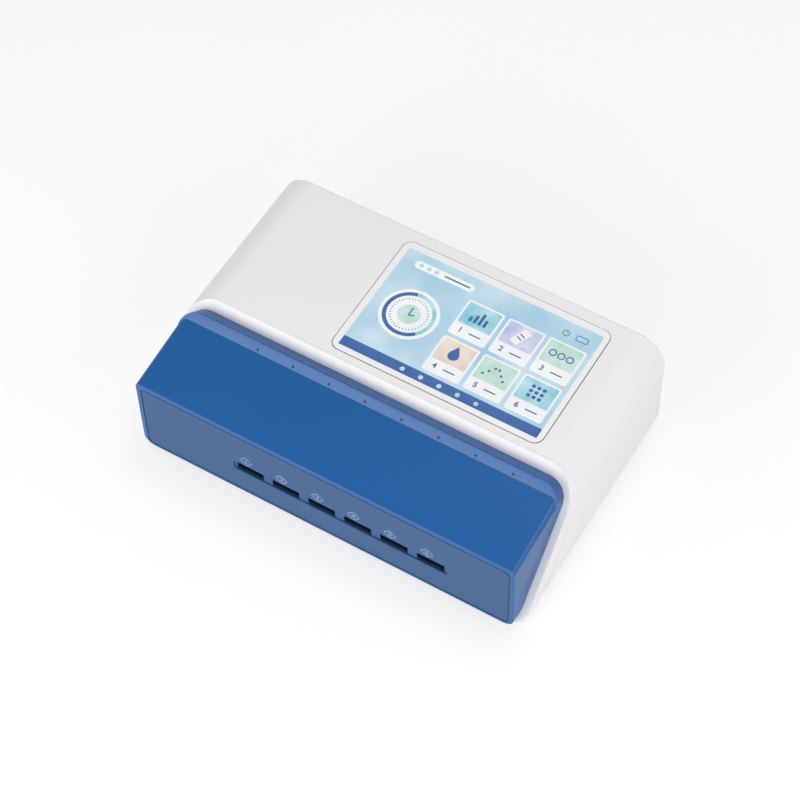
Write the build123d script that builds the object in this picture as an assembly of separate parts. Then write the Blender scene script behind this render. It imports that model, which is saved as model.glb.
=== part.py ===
from build123d import *
import os
from math import sin, cos, tan, pi, radians

# A benchtop rapid test reader: a white case with a sloping front, a blue reader
# cover on that front with six cassette slots, a touch display on top, and inside
# a tray of six lanes under an optical head that travels in X and Y.
# Sizes are in mm. Everything is drawn in the case's own axes: X to the right,
# Y to the back from the foot of the sloping front, Z up from the case's underside.
# The export moves it so that the origin is under the middle, on the table.

# Case
case_width = 300.0
case_depth = 191.5
case_height = 84.5
case_wall = 2.5
slope_angle = 49.5            # of the front, from the horizontal
top_edge_radius = 22.5        # the two long top edges
bottom_edge_radius = 5.0
back_edge_radius = 1.5
seam_setback = 19.6           # side seam, square to the sloping front
seam_bend_height = 46.0       # where the seam turns up to the crease
seam_land = 1.2               # width of the front moulding's edge on the top
part_gap = 0.12               # between the two case mouldings
foot_height = 3.0
foot_radius = 8.0
foot_seat = 0.6
foot_side_margin = 28.0       # case side to the foot's middle
foot_front_y = 50.0
foot_back_margin = 23.5

# Underside plate
rim_width = 7.0
rim_thickness = 1.3
floor_thickness = 3.0
floor_gap = 0.3
underside_margin = 7.0        # case side to the plate's edge
underside_front_y = 28.2
underside_back_margin = 5.0
base_screw_inset = 22.0       # from the plate's front and back edges
base_post_radius = 3.2
base_post_high = 9.0

# Reader cover
cover_width = 290.0
cover_reach = 4.8             # ahead of the foot of the sloping front
cover_low = 1.7
cover_front_height = 72.0
cover_wall = 2.5
flange_drop = 8.5             # from the crease down to the flange
flange_proud = 13.5           # above the sloping front
flange_corner = 15.0
flange_rim_radius = 0.9
opening_top_lip = 5.0         # bezel left under the flange's upper edge
opening_side_lip = 12.0
opening_foot = 18.0
opening_corner = 6.0
band_width = 8.0              # strip of flange face above the block
front_corner = 4.0            # long top edges of the block, at the front
rear_corner = 15.0            # and where they meet the band
bottom_corner = 8.0
front_edge_radius = 1.8

# Slot panel and cassette lanes
frame_width = 4.6
panel_gap = 0.35
panel_lip = 1.5
panel_back = 1.6
lane_count = 6
lane_pitch = 27.9
lane_offset = 12.5
slot_width = 20.8
slot_height = 5.5
slot_high = 34.6
strip_depth = 0.7
strip_above = 0.5
strip_below = 3.8
strip_end = 2.4
lip_height = 2.8
lip_depth = 2.2
insertion_depth = 58.0        # from the panel's face to the end stop
tray_floor = 2.5
tray_stop = 2.2
tray_front_gap = 0.4
tray_edge = 3.4
pillar_radius = 4.0
pillar_inset = 10.0
pillar_front_y = 40.0
spring_length = 26.0
spring_bow = 1.4
spring_thickness = 0.3
spring_height = 3.6
sensor_setback = 6.0          # ahead of the end stop
board_thickness = 1.6

# Indicators in the band
indicator_count = 8
indicator_pitch = 27.85
indicator_offset = 13.3
indicator_drop = 5.5          # below the band's top edge
indicator_hole_radius = 0.75
light_pipe_radius = 0.7
light_pipe_collar = 1.3
indicator_standoff = 4.0
indicator_board_width = 10.0

# Display
glass_width = 160.0
glass_depth = 103.5
glass_thickness = 1.8
glass_corner = 7.0
glass_gap = 0.25
glass_setback = 6.3           # behind the crease
display_x = 35.0
window_margin = 3.0
module_gap = 0.4
module_thickness = 4.6
window_frame = 2.8
window_frame_margin = 4.5
bracket_thickness = 1.5
bracket_post_radius = 3.0

# Scanning mechanism
sheet = 1.5
cheek_clearance = 13.5        # cover's side wall to the chassis cheek's inner face
cheek_high = 51.0
cheek_low = 37.0
rod_inset = 11.0              # chassis cheek to the rod's axis
rod_z = 44.0
rod_radius = 3.0
rod_front_y = 8.0
rod_back_y = 114.0
rod_block = (16.0, 10.0, 14.0)
chassis_front_y = 78.0
chassis_back_y = 120.0
chassis_foot = 1.0
gantry_home_y = 84.0
gantry_depth = 22.0
beam_low = 56.0
beam_high = 66.0
leg_low = 36.5
leg_outside = 9.0             # rod's axis to the leg's outer face
leg_clearance = 9.75          # from the head at either end of its travel
bush_radius = 6.0
bush_length = 19.0
screw_offset = 34.0           # from the head's home place
screw_radius = 3.0
nut_radius = 5.0
nut_flange_radius = 7.5
nut_flange = 3.0
coupling_radius = 7.0
coupling_length = 17.5
scan_motor_size = 28.0
scan_motor_length = 32.0
run_clearance = 0.05

rail_width = 7.0
rail_height = 5.0
rail_overrun = 15.5           # past the first and last lane
rail_block_length = 24.0
rail_block_width = 17.0
rail_block_height = 6.9
head_width = 30.0
head_low = 37.2
head_front = 36.0             # ahead of the gantry's middle
head_back = 20.4
lens_ahead = 28.2
lens_radius = 5.0
lens_low = 35.9
head_wall = 1.8
head_floor = 46.0

pulley_teeth = 20
belt_tooth_pitch = 2.0
belt_thickness = 1.3
belt_width = 6.0
pulley_z = 60.0
pulley_flange = 0.8
drive_offset = 16.0           # belt pulley's axis past the last lane
idler_offset = 28.5           # and before the first
head_motor_size = 20.0
head_motor_length = 28.0
head_motor_plate = 2.0
motor_plate_margin = 0.5

# Electronics and the back
main_board = (165.0, 58.0)
main_board_x = 32.5
main_board_back = 3.0         # to the back wall's inner face
main_board_z = 12.0
socket_recess = 0.4
socket_gap = 0.3
switch_x = -112.0
switch_z = 44.0
switch_frame = (15.0, 21.0, 2.0)
switch_body = (12.8, 18.8, 14.0)
rocker_size = (9.8, 16.0)
rocker_tilt = 9.0
rocker_pin_radius = 1.2

screw_shank_radius = 1.25
screw_head_radius = 2.5

# Worked out from the above
slope = radians(slope_angle)
crease_y = case_height / tan(slope)
slope_length = case_height / sin(slope)
front_y = -cover_reach
case_in = case_width / 2 - case_wall
back_in = case_depth - case_wall
top_in = case_height - case_wall
slot_low = slot_high - slot_height
stop_y = front_y + insertion_depth
display_y = crease_y + glass_setback + glass_depth / 2
pulley_pitch_radius = pulley_teeth * belt_tooth_pitch / (2 * pi)
pulley_radius = pulley_pitch_radius - 0.3
belt_inner_radius = pulley_radius + run_clearance
lane_x = [lane_offset + (k - (lane_count - 1) / 2) * lane_pitch for k in range(lane_count)]
head_home_x = lane_x[0]
cheek_x = cover_width / 2 - cover_wall - cheek_clearance
rod_x = cheek_x - rod_inset
screw_x = head_home_x - screw_offset
drive_x = lane_x[-1] + drive_offset
idler_x = lane_x[0] - idler_offset
indicator_x = [indicator_offset + (k - (indicator_count - 1) / 2) * indicator_pitch
               for k in range(indicator_count)]

# The plane of the sloping front: its origin is on the crease, X to the right,
# Y up the slope and Z out of the case.
front_plane = Plane(origin=(0, crease_y, case_height), x_dir=(1, 0, 0),
                    z_dir=(0, -sin(slope), cos(slope)))


def block(x_span, y_span, z_span):
    sizes = [high - low for low, high in (x_span, y_span, z_span)]
    middle = [(low + high) / 2 for low, high in (x_span, y_span, z_span)]
    return Pos(*middle) * Box(*sizes)


def along_x(points, x_low, x_high):
    face = Plane.YZ * make_face(Polyline(*points, close=True))
    return Pos(x_low, 0, 0) * extrude(face, x_high - x_low)


def along_y(sketch, y_low, y_high):
    return Pos(0, y_low, 0) * extrude(Plane.XZ * sketch, y_low - y_high)


def along_z(sketch, z_low, z_high):
    return Pos(0, 0, z_low) * extrude(sketch, z_high - z_low)


def bar_x(y, z, radius, x_low, x_high):
    return Pos((x_low + x_high) / 2, y, z) * Rot(0, 90, 0) * Cylinder(radius, x_high - x_low)


def bar_y(x, z, radius, y_low, y_high):
    return Pos(x, (y_low + y_high) / 2, z) * Rot(90, 0, 0) * Cylinder(radius, y_high - y_low)


def bar_z(x, y, radius, z_low, z_high):
    return Pos(x, y, (z_low + z_high) / 2) * Cylinder(radius, z_high - z_low)


def section(width, low, high, top_radius, low_radius):
    outline = Pos(0, (low + high) / 2) * Rectangle(width, high - low)
    if top_radius:
        outline = fillet(outline.vertices().group_by(Axis.Y)[-1], top_radius)
    if low_radius:
        outline = fillet(outline.vertices().group_by(Axis.Y)[0], low_radius)
    return outline


def off_front(x, up, low, high, radius):
    # A round bar square to the sloping front, between two heights above it.
    bar = Pos(x, up, (low + high) / 2) * Cylinder(radius, high - low)
    return front_plane.location * bar


def slope_y(z, inset=0.0):
    return z / tan(slope) + inset / sin(slope)


def save(name, *solids):
    middle_y = (front_y + case_depth + switch_frame[2] + rocker_proud()) / 2
    moved = [Pos(0, -middle_y, foot_height) * solid for group in solids for solid in group.solids()]
    shape = moved[0] if len(moved) == 1 else Compound(children=moved)
    export_step(shape, f"parts/{name}.step")


# Case mouldings

def case_form(inset):
    outline = section(case_width - 2 * inset, inset, case_height - inset,
                      top_edge_radius - inset, bottom_edge_radius - inset)
    body = along_y(outline, 0, case_depth - inset)
    reach = case_height + 10
    ahead = [(slope_y(-10, inset), -10), (slope_y(reach, inset), reach), (-80, reach), (-80, -10)]
    return body - along_x(ahead, -case_width, case_width)


def seam_line(shift):
    # Side view of the joint between the two case mouldings, moved back by shift.
    foot = (slope_y(-10, seam_setback) + shift, -10)
    bend = (slope_y(seam_bend_height, seam_setback) + shift, seam_bend_height)
    land = (crease_y + seam_land + shift, case_height)
    top = (crease_y + seam_land + shift, case_height + 10)
    return [foot, bend, land, top]


def front_opening():
    half = cover_width / 2 - opening_side_lip
    up = -(flange_drop + opening_top_lip)
    down = -(case_height - opening_foot) / sin(slope)
    outline = Pos(0, (up + down) / 2) * RectangleRounded(2 * half, up - down, opening_corner)
    return front_plane * outline


def cover_boss_places():
    side = cover_width / 2 - cover_wall - 3.0
    return [(sx * side, -up) for sx in (-1, 1) for up in (38, 66)]


def front_bezel():
    shell = case_form(0) - case_form(case_wall)
    ahead = seam_line(-part_gap / 2) + [(-80, case_height + 10), (-80, -10)]
    bezel = shell & along_x(ahead, -case_width, case_width)
    bezel -= extrude(front_opening(), 10, both=True)
    for x, up in cover_boss_places():
        bezel -= off_front(x, up, -10, 1, screw_shank_radius + 0.25)
    # tongues behind the seam that the case screws hold
    for side in (-1, 1):
        for z in (14.0, 34.0):
            y = slope_y(z, seam_setback)
            inner = side * (case_in - 0.3)
            tab = block(sorted((inner, inner - side * 2.0)), (y - 9, y + 8), (z - 5, z + 5))
            root = block(sorted((inner - side * 2.0, side * (case_in + 0.5))), (y - 9, y - 5.5), (z - 5, z + 5))
            bezel += (tab + root) - bar_x(y + 3, z, 1.4, -case_width, case_width)
    return bezel


def tab_screws():
    screws = []
    for side in (-1, 1):
        for z in (14.0, 34.0):
            y = slope_y(z, seam_setback) + 3
            inner = case_in - 2.3
            shank = bar_x(y, z, screw_shank_radius, *sorted((side * inner, side * (case_in + 1.2))))
            head = bar_x(y, z, screw_head_radius, *sorted((side * inner, side * (inner - 1.6))))
            screws.append(shank + head)
    return screws


def underside_outline(margin):
    low_y = underside_front_y + margin
    high_y = case_depth - underside_back_margin - margin
    half = case_width / 2 - underside_margin - margin
    return Pos(0, (low_y + high_y) / 2) * RectangleRounded(2 * half, high_y - low_y, 5)


def base_screw_places():
    side = case_width / 2 - underside_margin - rim_width / 2
    back = case_depth - underside_back_margin - base_screw_inset
    rows = (underside_front_y + base_screw_inset, chassis_back_y + base_screw_inset / 2, back)
    return [(sx * side, y) for sx in (-1, 1) for y in rows]


def bracket_posts():
    across = glass_width / 2 + 0.8
    return [(display_x + sx * across, display_y + sy * 34.0) for sx in (-1, 1) for sy in (-1, 1)]


def main_housing():
    shell = case_form(0) - case_form(case_wall)
    behind = seam_line(part_gap / 2) + [(case_depth + 10, case_height + 10), (case_depth + 10, -10)]
    housing = shell & along_x(behind, -case_width, case_width)
    back = housing.edges().filter_by(lambda e: abs(e.center().Y - case_depth) < 0.01
                                     and e.center().Z > case_height / 2)
    housing = fillet(back, back_edge_radius)
    # display seat: a frame under the top, the glass pocket and the window
    low_top = case_height - glass_thickness - window_frame
    frame = RectangleRounded(glass_width + 2 * window_frame_margin,
                             glass_depth + 2 * window_frame_margin, 8)
    housing += along_z(Pos(display_x, display_y) * frame, low_top, top_in)
    for x, y in bracket_posts():
        housing += bar_z(x, y, bracket_post_radius, bracket_top(), low_top)
        housing -= bar_z(x, y, screw_shank_radius, bracket_top() - 1, low_top + 1.5)
    pocket = RectangleRounded(glass_width + 2 * glass_gap, glass_depth + 2 * glass_gap,
                              glass_corner + glass_gap)
    housing -= along_z(Pos(display_x, display_y) * pocket, case_height - glass_thickness, case_height + 1)
    window = RectangleRounded(glass_width - 2 * window_margin, glass_depth - 2 * window_margin, 3)
    housing -= along_z(Pos(display_x, display_y) * window, low_top - 1, case_height)
    # opening and stepped seat for the underside plate
    housing -= along_z(underside_outline(rim_width), -1, case_wall + 1)
    housing -= along_z(underside_outline(0), -1, rim_thickness)
    for x, y in base_screw_places():
        housing += bar_z(x, y, base_post_radius, rim_thickness, base_post_high)
        housing -= bar_z(x, y, screw_shank_radius, 0, base_post_high - 0.8)
    # bosses for the front moulding's tongues
    for side in (-1, 1):
        for z in (14.0, 34.0):
            y = slope_y(z, seam_setback) + 3
            housing -= bar_x(y, z, screw_shank_radius, *sorted((side * (case_in - 1), side * (case_in + 1.2))))
    for hole in back_holes():
        housing -= hole
    return housing


def floor_posts():
    # Chassis feet, tray pillars and board posts on the underside plate.
    chassis = [(sx * 108.0, y) for sx in (-1, 1) for y in (chassis_front_y + 8, chassis_back_y - 8)]
    across, along = main_board[0] / 2 - 4, main_board[1] / 2 - 4
    board_y = back_in - main_board_back - main_board[1] / 2
    board = [(main_board_x + sx * across, board_y + sy * along) for sx in (-1, 1) for sy in (-1, 1)]
    return chassis, pillar_places(), board


def base_plate():
    plate = along_z(underside_outline(floor_gap), 0, rim_thickness)
    plate += along_z(underside_outline(rim_width + floor_gap), rim_thickness, floor_thickness)
    chassis, tray, board = floor_posts()
    for x, y in chassis:
        plate += bar_z(x, y, 5.0, floor_thickness, floor_thickness + chassis_foot)
        plate -= bar_z(x, y, screw_shank_radius, 0.8, floor_thickness + chassis_foot + 1)
    for x, y in tray:
        plate -= bar_z(x, y, screw_shank_radius + 0.2, -1, floor_thickness + 1)
        plate -= bar_z(x, y, screw_head_radius + 0.3, -1, 1.7)
    for x, y in board:
        post = bar_z(x, y, 3.5, floor_thickness, main_board_z)
        plate += post - bar_z(x, y, screw_shank_radius, 6.0, main_board_z + 1)
    for x, y in base_screw_places():
        plate -= Pos(x, y, rim_thickness / 2) * Cone(screw_head_radius + 0.1, screw_shank_radius + 0.15,
                                                     rim_thickness)
    for x, y in foot_places():
        plate -= bar_z(x, y, foot_radius + 0.15, -1, foot_seat)
    # two fields of ventilation slots
    for side in (-1, 1):
        for k in range(7):
            slot = Pos(side * 62.0, 96.0 + (k - 3) * 7.0) * SlotOverall(46.0, 2.6)
            plate -= along_z(slot, -1, floor_thickness + 1)
    return plate


def foot_places():
    side = case_width / 2 - foot_side_margin
    return [(sx * side, y) for sx in (-1, 1) for y in (foot_front_y, case_depth - foot_back_margin)]


def rubber_feet():
    feet = []
    for x, y in foot_places():
        height = foot_height + foot_seat
        foot = Pos(x, y, foot_seat - height / 2) * Cylinder(foot_radius, height)
        foot = chamfer(foot.edges().group_by(Axis.Z)[0], 0.6)
        feet.append(foot - bar_z(x, y, 2.6, -foot_height - 1, -foot_height + 1.6))
    return feet


def base_screws():
    screws = []
    for x, y in base_screw_places():
        head = Pos(x, y, rim_thickness / 2) * Cone(screw_head_radius, screw_shank_radius, rim_thickness)
        screws.append(head + bar_z(x, y, screw_shank_radius, rim_thickness, base_post_high - 1))
    return screws


def tray_screws():
    screws = []
    for x, y in pillar_places():
        head = bar_z(x, y, screw_head_radius, 0.2, 1.7)
        screws.append(head + bar_z(x, y, screw_shank_radius, 1.7, floor_thickness + 6))
    return screws


# Reader cover, slot panel and indicators

def top_line(y, inset):
    rise = (block_back[1] - cover_front_height) / (block_back[0] - front_y)
    return cover_front_height + rise * (y - front_y) - inset * (1 + rise * rise) ** 0.5


def edge_radius(y, inset):
    share = (y - front_y) / (block_back[0] - front_y)
    return front_corner + share * (rear_corner - front_corner) - inset


def band_corner_place():
    # Where the block's top meets the band, in side view.
    place = front_plane.from_local_coords((0, -(flange_drop + band_width), flange_proud))
    return place.Y, place.Z


block_back = band_corner_place()


def cover_form(inset, behind, rim_radius=0.0):
    width = cover_width - 2 * inset
    # the flange, square to the sloping front
    up = -(flange_drop + inset)
    down = -(slope_length + 30)
    outline = Pos(0, (up + down) / 2) * Rectangle(width, up - down)
    outline = fillet(outline.vertices().group_by(Axis.Y)[-1], flange_corner - inset)
    flange = extrude(front_plane * outline, flange_proud - inset)
    if rim_radius:
        face = flange.edges().filter_by(lambda e: front_plane.to_local_coords(e.center()).Z > flange_proud - 0.01)
        flange = fillet(face, rim_radius)
    if behind:
        flange += extrude(front_plane * outline, -behind)
    # the block, whose long top edges grow rounder towards the band
    stations = (front_y + inset, block_back[0] + 6)
    faces = []
    for y in stations:
        radius = max(edge_radius(y, inset), 0.6)
        outline = section(width, -20, top_line(y, inset), radius, 0)
        faces.append(Pos(0, y, 0) * (Plane.XZ * outline))
    wedge = loft(faces, ruled=True)
    reach = 130
    face_y = slope_y(0, -(flange_proud - inset - 2 * flange_rim_radius))
    ahead = [(slope_y(-30, 0) + face_y, -30), (slope_y(reach, 0) + face_y, reach), (-90, reach), (-90, -30)]
    wedge &= along_x(ahead, -case_width, case_width)
    envelope = section(width, cover_low + inset, reach, 0, bottom_corner - inset)
    return (flange + wedge) & along_y(envelope, front_y + inset, case_depth)


def reader_cover():
    outer = cover_form(0, 0, flange_rim_radius)
    front = outer.edges().filter_by(lambda e: abs(e.center().Y - front_y) < 0.01)
    outer = fillet(front, front_edge_radius)
    cover = outer - cover_form(cover_wall, 1)
    # opening for the slot panel
    cover -= along_y(panel_outline(frame_width), front_y - 1, front_y + cover_wall + 0.5)
    # screw bosses on the side walls, down to the sloping front
    inner = cover_form(cover_wall - 0.4, 0)
    for x, up in cover_boss_places():
        cover += off_front(x, up, 0, 12, 3.2) & inner
        cover -= off_front(x, up, -1, 9, screw_shank_radius)
    # indicator holes and the board's posts behind the band
    up = -(flange_drop + indicator_drop)
    for x in indicator_x:
        cover -= off_front(x, up, flange_proud - cover_wall - 1, flange_proud + 1, indicator_hole_radius)
    for x in board_post_x():
        low = flange_proud - cover_wall - indicator_standoff
        cover += off_front(x, up, low, flange_proud - cover_wall + 0.3, 1.8)
        cover -= off_front(x, up, low - 1, low + 3.5, 0.8)
    return cover


def board_post_x():
    return [(indicator_x[k] + indicator_x[k + 1]) / 2 for k in (0, 3, 6)]


def panel_outline(inset):
    return section(cover_width - 2 * inset, cover_low + inset, cover_front_height - inset,
                   2.4, bottom_corner - inset)


def slot_panel():
    face_back = front_y + cover_wall
    panel = along_y(panel_outline(frame_width + panel_gap), front_y, face_back)
    front = panel.edges().filter_by(lambda e: abs(e.center().Y - front_y) < 0.01)
    panel = fillet(front, 0.4)
    panel += along_y(panel_outline(frame_width - panel_lip), face_back, face_back + panel_back)
    # long shallow strip that the slots open into
    strip_low = slot_low - strip_below
    strip_top = slot_high + strip_above
    low_x = lane_x[0] - slot_width / 2 - strip_end
    high_x = lane_x[-1] + slot_width / 2 + strip_end
    strip = Pos((low_x + high_x) / 2, (strip_low + strip_top) / 2)
    strip = strip * RectangleRounded(high_x - low_x, strip_top - strip_low, 2.2)
    panel -= along_y(strip, front_y - 1, front_y + strip_depth)
    for x in lane_x:
        panel -= block((x - slot_width / 2, x + slot_width / 2), (front_y - 1, face_back + panel_back + 1),
                       (slot_low, slot_high))
        ramp = [(front_y + strip_depth - 0.5, slot_low - lip_height - 0.6),
                (front_y + strip_depth + lip_depth, slot_low), (front_y + strip_depth + lip_depth, slot_low + 1),
                (front_y - 1, slot_low + 1), (front_y - 1, slot_low - lip_height - 0.6)]
        panel -= along_x(ramp, x - slot_width / 2 - 0.8, x + slot_width / 2 + 0.8)
    return panel


def indicator_light_pipes():
    up = -(flange_drop + indicator_drop)
    back = flange_proud - cover_wall
    pipes = []
    for x in indicator_x:
        stem = off_front(x, up, back - 2.8, flange_proud - 0.5, light_pipe_radius)
        pipes.append(stem + off_front(x, up, back - 0.6, back, light_pipe_collar))
    return pipes


def indicator_board_place():
    top = flange_proud - cover_wall - indicator_standoff
    middle = -(flange_drop + cover_wall + 0.6 + indicator_board_width / 2)
    return top, middle


def indicator_board():
    top, middle = indicator_board_place()
    low_x, high_x = indicator_x[0] - 8, indicator_x[-1] + 8
    outline = Pos((low_x + high_x) / 2, middle) * RectangleRounded(high_x - low_x, indicator_board_width, 1)
    board = extrude(Plane(front_plane.location * Location((0, 0, top))) * outline, -board_thickness)
    up = -(flange_drop + indicator_drop)
    for x in board_post_x():
        board -= off_front(x, up, top - 3, top + 1, 0.9)
    return board


def indicator_lamps():
    top, _ = indicator_board_place()
    up = -(flange_drop + indicator_drop)
    return [front_plane.location * Pos(x, up, top + 0.4) * Box(1.6, 1.6, 0.8) for x in indicator_x]


def cover_screws():
    screws = []
    for x, up in cover_boss_places():
        shank = off_front(x, up, -case_wall, 8, screw_shank_radius)
        screws.append(shank + off_front(x, up, -case_wall - 1.6, -case_wall, screw_head_radius))
    return screws


# Display

def bracket_top():
    return case_height - glass_thickness - module_thickness


def display_glass():
    outline = Pos(display_x, display_y) * RectangleRounded(glass_width, glass_depth, glass_corner)
    glass = along_z(outline, case_height - glass_thickness, case_height)
    return chamfer(glass.edges().group_by(Axis.Z)[-1], 0.3)


def display_module():
    width = glass_width - 2 * window_margin - 2 * module_gap
    depth = glass_depth - 2 * window_margin - 2 * module_gap
    outline = Pos(display_x, display_y) * RectangleRounded(width, depth, 2)
    return along_z(outline, bracket_top(), case_height - glass_thickness)


def display_bracket():
    across = glass_width / 2 + 0.8 + 4.5
    outline = Rectangle(2 * across, 2 * 34.0 + 9)
    hole = RectangleRounded(116.0, 44.0, 6)
    plate = along_z(Pos(display_x, display_y) * (outline - hole), bracket_top() - bracket_thickness,
                    bracket_top())
    plate = fillet(plate.edges().filter_by(Axis.Z).group_by(Axis.X)[0], 4)
    plate = fillet(plate.edges().filter_by(Axis.Z).group_by(Axis.X)[-1], 4)
    # folded stiffening edges round the middle hole
    for sy in (-1, 1):
        y = display_y + sy * 23.5
        lip = block((display_x - 56, display_x + 56), (y - 0.75, y + 0.75),
                    (bracket_top() - bracket_thickness - 3, bracket_top() - bracket_thickness))
        plate += lip
    for x, y in bracket_posts():
        plate -= bar_z(x, y, screw_shank_radius + 0.2, 0, case_height)
    return plate


def bracket_screws():
    low = bracket_top() - bracket_thickness
    return [bar_z(x, y, screw_head_radius, low - 1.6, low)
            + bar_z(x, y, screw_shank_radius, low, bracket_top() + 2.5) for x, y in bracket_posts()]


# Cassette tray

def tray_span():
    half = slot_width / 2 + tray_edge
    return lane_x[0] - half, lane_x[-1] + half


def pillar_places():
    low_x, high_x = tray_span()
    across = (low_x + pillar_inset, (low_x + high_x) / 2, high_x - pillar_inset)
    return [(x, y) for x in across for y in (pillar_front_y, stop_y + tray_stop + 6)]


def tray_front():
    return front_y + cover_wall + panel_back + tray_front_gap


def cassette_tray():
    low_x, high_x = tray_span()
    back = stop_y + tray_stop + 12
    deck = block((low_x, high_x), (tray_front(), back), (slot_low - tray_floor, slot_low))
    # ribs between the lanes, each with a pocket for its side spring
    rib_high = slot_high - 0.2
    edges = [low_x] + [x + slot_width / 2 for x in lane_x]
    ends = [x - slot_width / 2 for x in lane_x] + [high_x]
    for low, high in zip(edges, ends):
        deck += block((low, high), (tray_front(), stop_y + tray_stop), (slot_low, rib_high))
    deck += block((low_x, high_x), (stop_y, stop_y + tray_stop), (slot_low, rib_high))
    for x in lane_x:
        side = x + slot_width / 2
        middle = spring_middle()
        pocket = (middle - spring_length / 2 - 1, middle + spring_length / 2 + 1)
        deck -= block((side - 0.01, side + spring_bow + spring_thickness), pocket,
                      (slot_low + 0.4, rib_high + 1))
        deck -= block((x - 2.4, x + 2.4), (sensor_y() - 1.9, sensor_y() + 1.9),
                      (slot_low - tray_floor - 1, slot_low + 1))
    # pillars to the underside plate, with stiffening ribs under the deck
    for x, y in pillar_places():
        deck += bar_z(x, y, pillar_radius, floor_thickness, slot_low - tray_floor)
        deck -= bar_z(x, y, screw_shank_radius, floor_thickness - 1, floor_thickness + 8)
    for y in (24.0, pillar_front_y, stop_y + tray_stop + 6):
        deck += block((low_x, high_x), (y - 0.9, y + 0.9), (slot_low - tray_floor - 3.5, slot_low - tray_floor))
    return deck


def spring_middle():
    return tray_front() + 26.0


def sensor_y():
    return stop_y - sensor_setback


def lane_springs():
    # Bowed leaf springs that press each cassette against the other side of its lane.
    springs = []
    half = spring_length / 2
    for x in lane_x:
        wall = x + slot_width / 2 + spring_bow + spring_thickness
        middle = spring_middle()
        outer = ThreePointArc((wall, middle - half), (wall - spring_bow, middle), (wall, middle + half))
        inner = ThreePointArc((wall - spring_thickness, middle - half),
                              (wall - spring_bow - spring_thickness, middle),
                              (wall - spring_thickness, middle + half))
        ends = [Line(outer @ 0, inner @ 0), Line(outer @ 1, inner @ 1)]
        face = make_face(Curve() + [outer, inner] + ends)
        springs.append(along_z(face, slot_low + 0.4, slot_low + 0.4 + spring_height))
    return springs


def sensor_board():
    low_x, high_x = tray_span()
    top = slot_low - tray_floor
    return block((low_x + 4, high_x - 4), (sensor_y() - 2.8, sensor_y() + 4), (top - board_thickness, top))


def cassette_sensors():
    top = slot_low - tray_floor
    return [block((x - 2.0, x + 2.0), (sensor_y() - 1.5, sensor_y() + 1.5), (top, slot_low - 0.3))
            for x in lane_x]


# Chassis and the Y drive

def chassis_frame():
    side = [(rod_front_y, cheek_low), (rod_front_y, cheek_high), (chassis_back_y, cheek_high),
            (chassis_back_y, floor_top()), (chassis_front_y, floor_top()), (58, cheek_low)]
    frame = along_x(side, cheek_x, cheek_x + sheet) + along_x(side, -cheek_x - sheet, -cheek_x)
    frame += block((-cheek_x - sheet, cheek_x + sheet), (chassis_front_y, chassis_back_y),
                   (floor_top(), floor_top() + sheet))
    frame += block((-cheek_x - sheet, screw_x + 24), (chassis_back_y - sheet, chassis_back_y),
                   (floor_top(), 62))
    frame -= bar_y(screw_x, rod_z, 11.0, chassis_back_y - 5, chassis_back_y + 5)
    for x, z in motor_screw_places():
        frame -= bar_y(x, z, 1.45, chassis_back_y - 5, chassis_back_y + 5)
    chassis, _, _ = floor_posts()
    for x, y in chassis:
        frame -= bar_z(x, y, screw_shank_radius + 0.2, 0, 12)
    # lightening holes in the floor, over the ventilation slots
    for side_x in (-62.0, 62.0):
        hole = Pos(side_x, (chassis_front_y + chassis_back_y) / 2) * RectangleRounded(60, 24, 4)
        frame -= along_z(hole, 0, 12)
    return frame


def floor_top():
    return floor_thickness + chassis_foot


def motor_screw_places():
    half = scan_motor_size / 2 - 2.5
    return [(screw_x + sx * half, rod_z + sz * half) for sx in (-1, 1) for sz in (-1, 1)]


def chassis_screws():
    chassis, _, _ = floor_posts()
    top = floor_top() + sheet
    return [bar_z(x, y, screw_head_radius, top, top + 1.8) + bar_z(x, y, screw_shank_radius, 1.0, top)
            for x, y in chassis]


def rod_block_spans():
    length = rod_block[1]
    return (rod_front_y, rod_front_y + length), (rod_back_y - length, rod_back_y)


def rod_blocks():
    blocks = []
    for side in (-1, 1):
        for span in rod_block_spans():
            x_span = sorted((side * cheek_x, side * (cheek_x - rod_block[0])))
            body = block(x_span, span, (rod_z - rod_block[2] / 2, rod_z + rod_block[2] / 2))
            body = chamfer(body.edges().filter_by(Axis.Y), 1)
            blocks.append(body - bar_y(side * rod_x, rod_z, rod_radius, span[0] - 1, span[1] + 1))
    return blocks


def guide_rods():
    rods = []
    for side in (-1, 1):
        rod = bar_y(side * rod_x, rod_z, rod_radius, rod_front_y, rod_back_y)
        rods.append(chamfer(rod.edges().filter_by(GeomType.CIRCLE), 0.5))
    return rods


def screw_end_plate():
    # Bent plate on the left cheek that carries the lead screw's front bearing.
    y = rod_front_y + rod_block[1]
    plate = block((-cheek_x, screw_x + 9), (y, y + 2), (rod_z - 6.8, rod_z + 6.8))
    plate -= bar_y(screw_x, rod_z, 5.0, y - 1, y + 3)
    plate -= bar_y(-rod_x, rod_z, rod_radius + 0.4, y - 1, y + 3)
    plate += block((-cheek_x, -cheek_x + 2), (y, y + 10), (rod_z - 6.8, rod_z + 6.8))
    return plate


def screw_bearing():
    y = rod_front_y + rod_block[1]
    flange = bar_y(screw_x, rod_z, 6.2, y - 1, y)
    bush = flange + bar_y(screw_x, rod_z, 5.0, y, y + 2)
    return bush - bar_y(screw_x, rod_z, screw_radius + run_clearance, y - 2, y + 3)


def coupling_span():
    back = chassis_back_y - sheet - 2.5
    return back - coupling_length, back


def lead_screw():
    low, high = coupling_span()
    screw = bar_y(screw_x, rod_z, screw_radius, rod_front_y + rod_block[1] - 3, (low + high) / 2)
    return chamfer(screw.edges().filter_by(GeomType.CIRCLE), 0.5)


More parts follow.
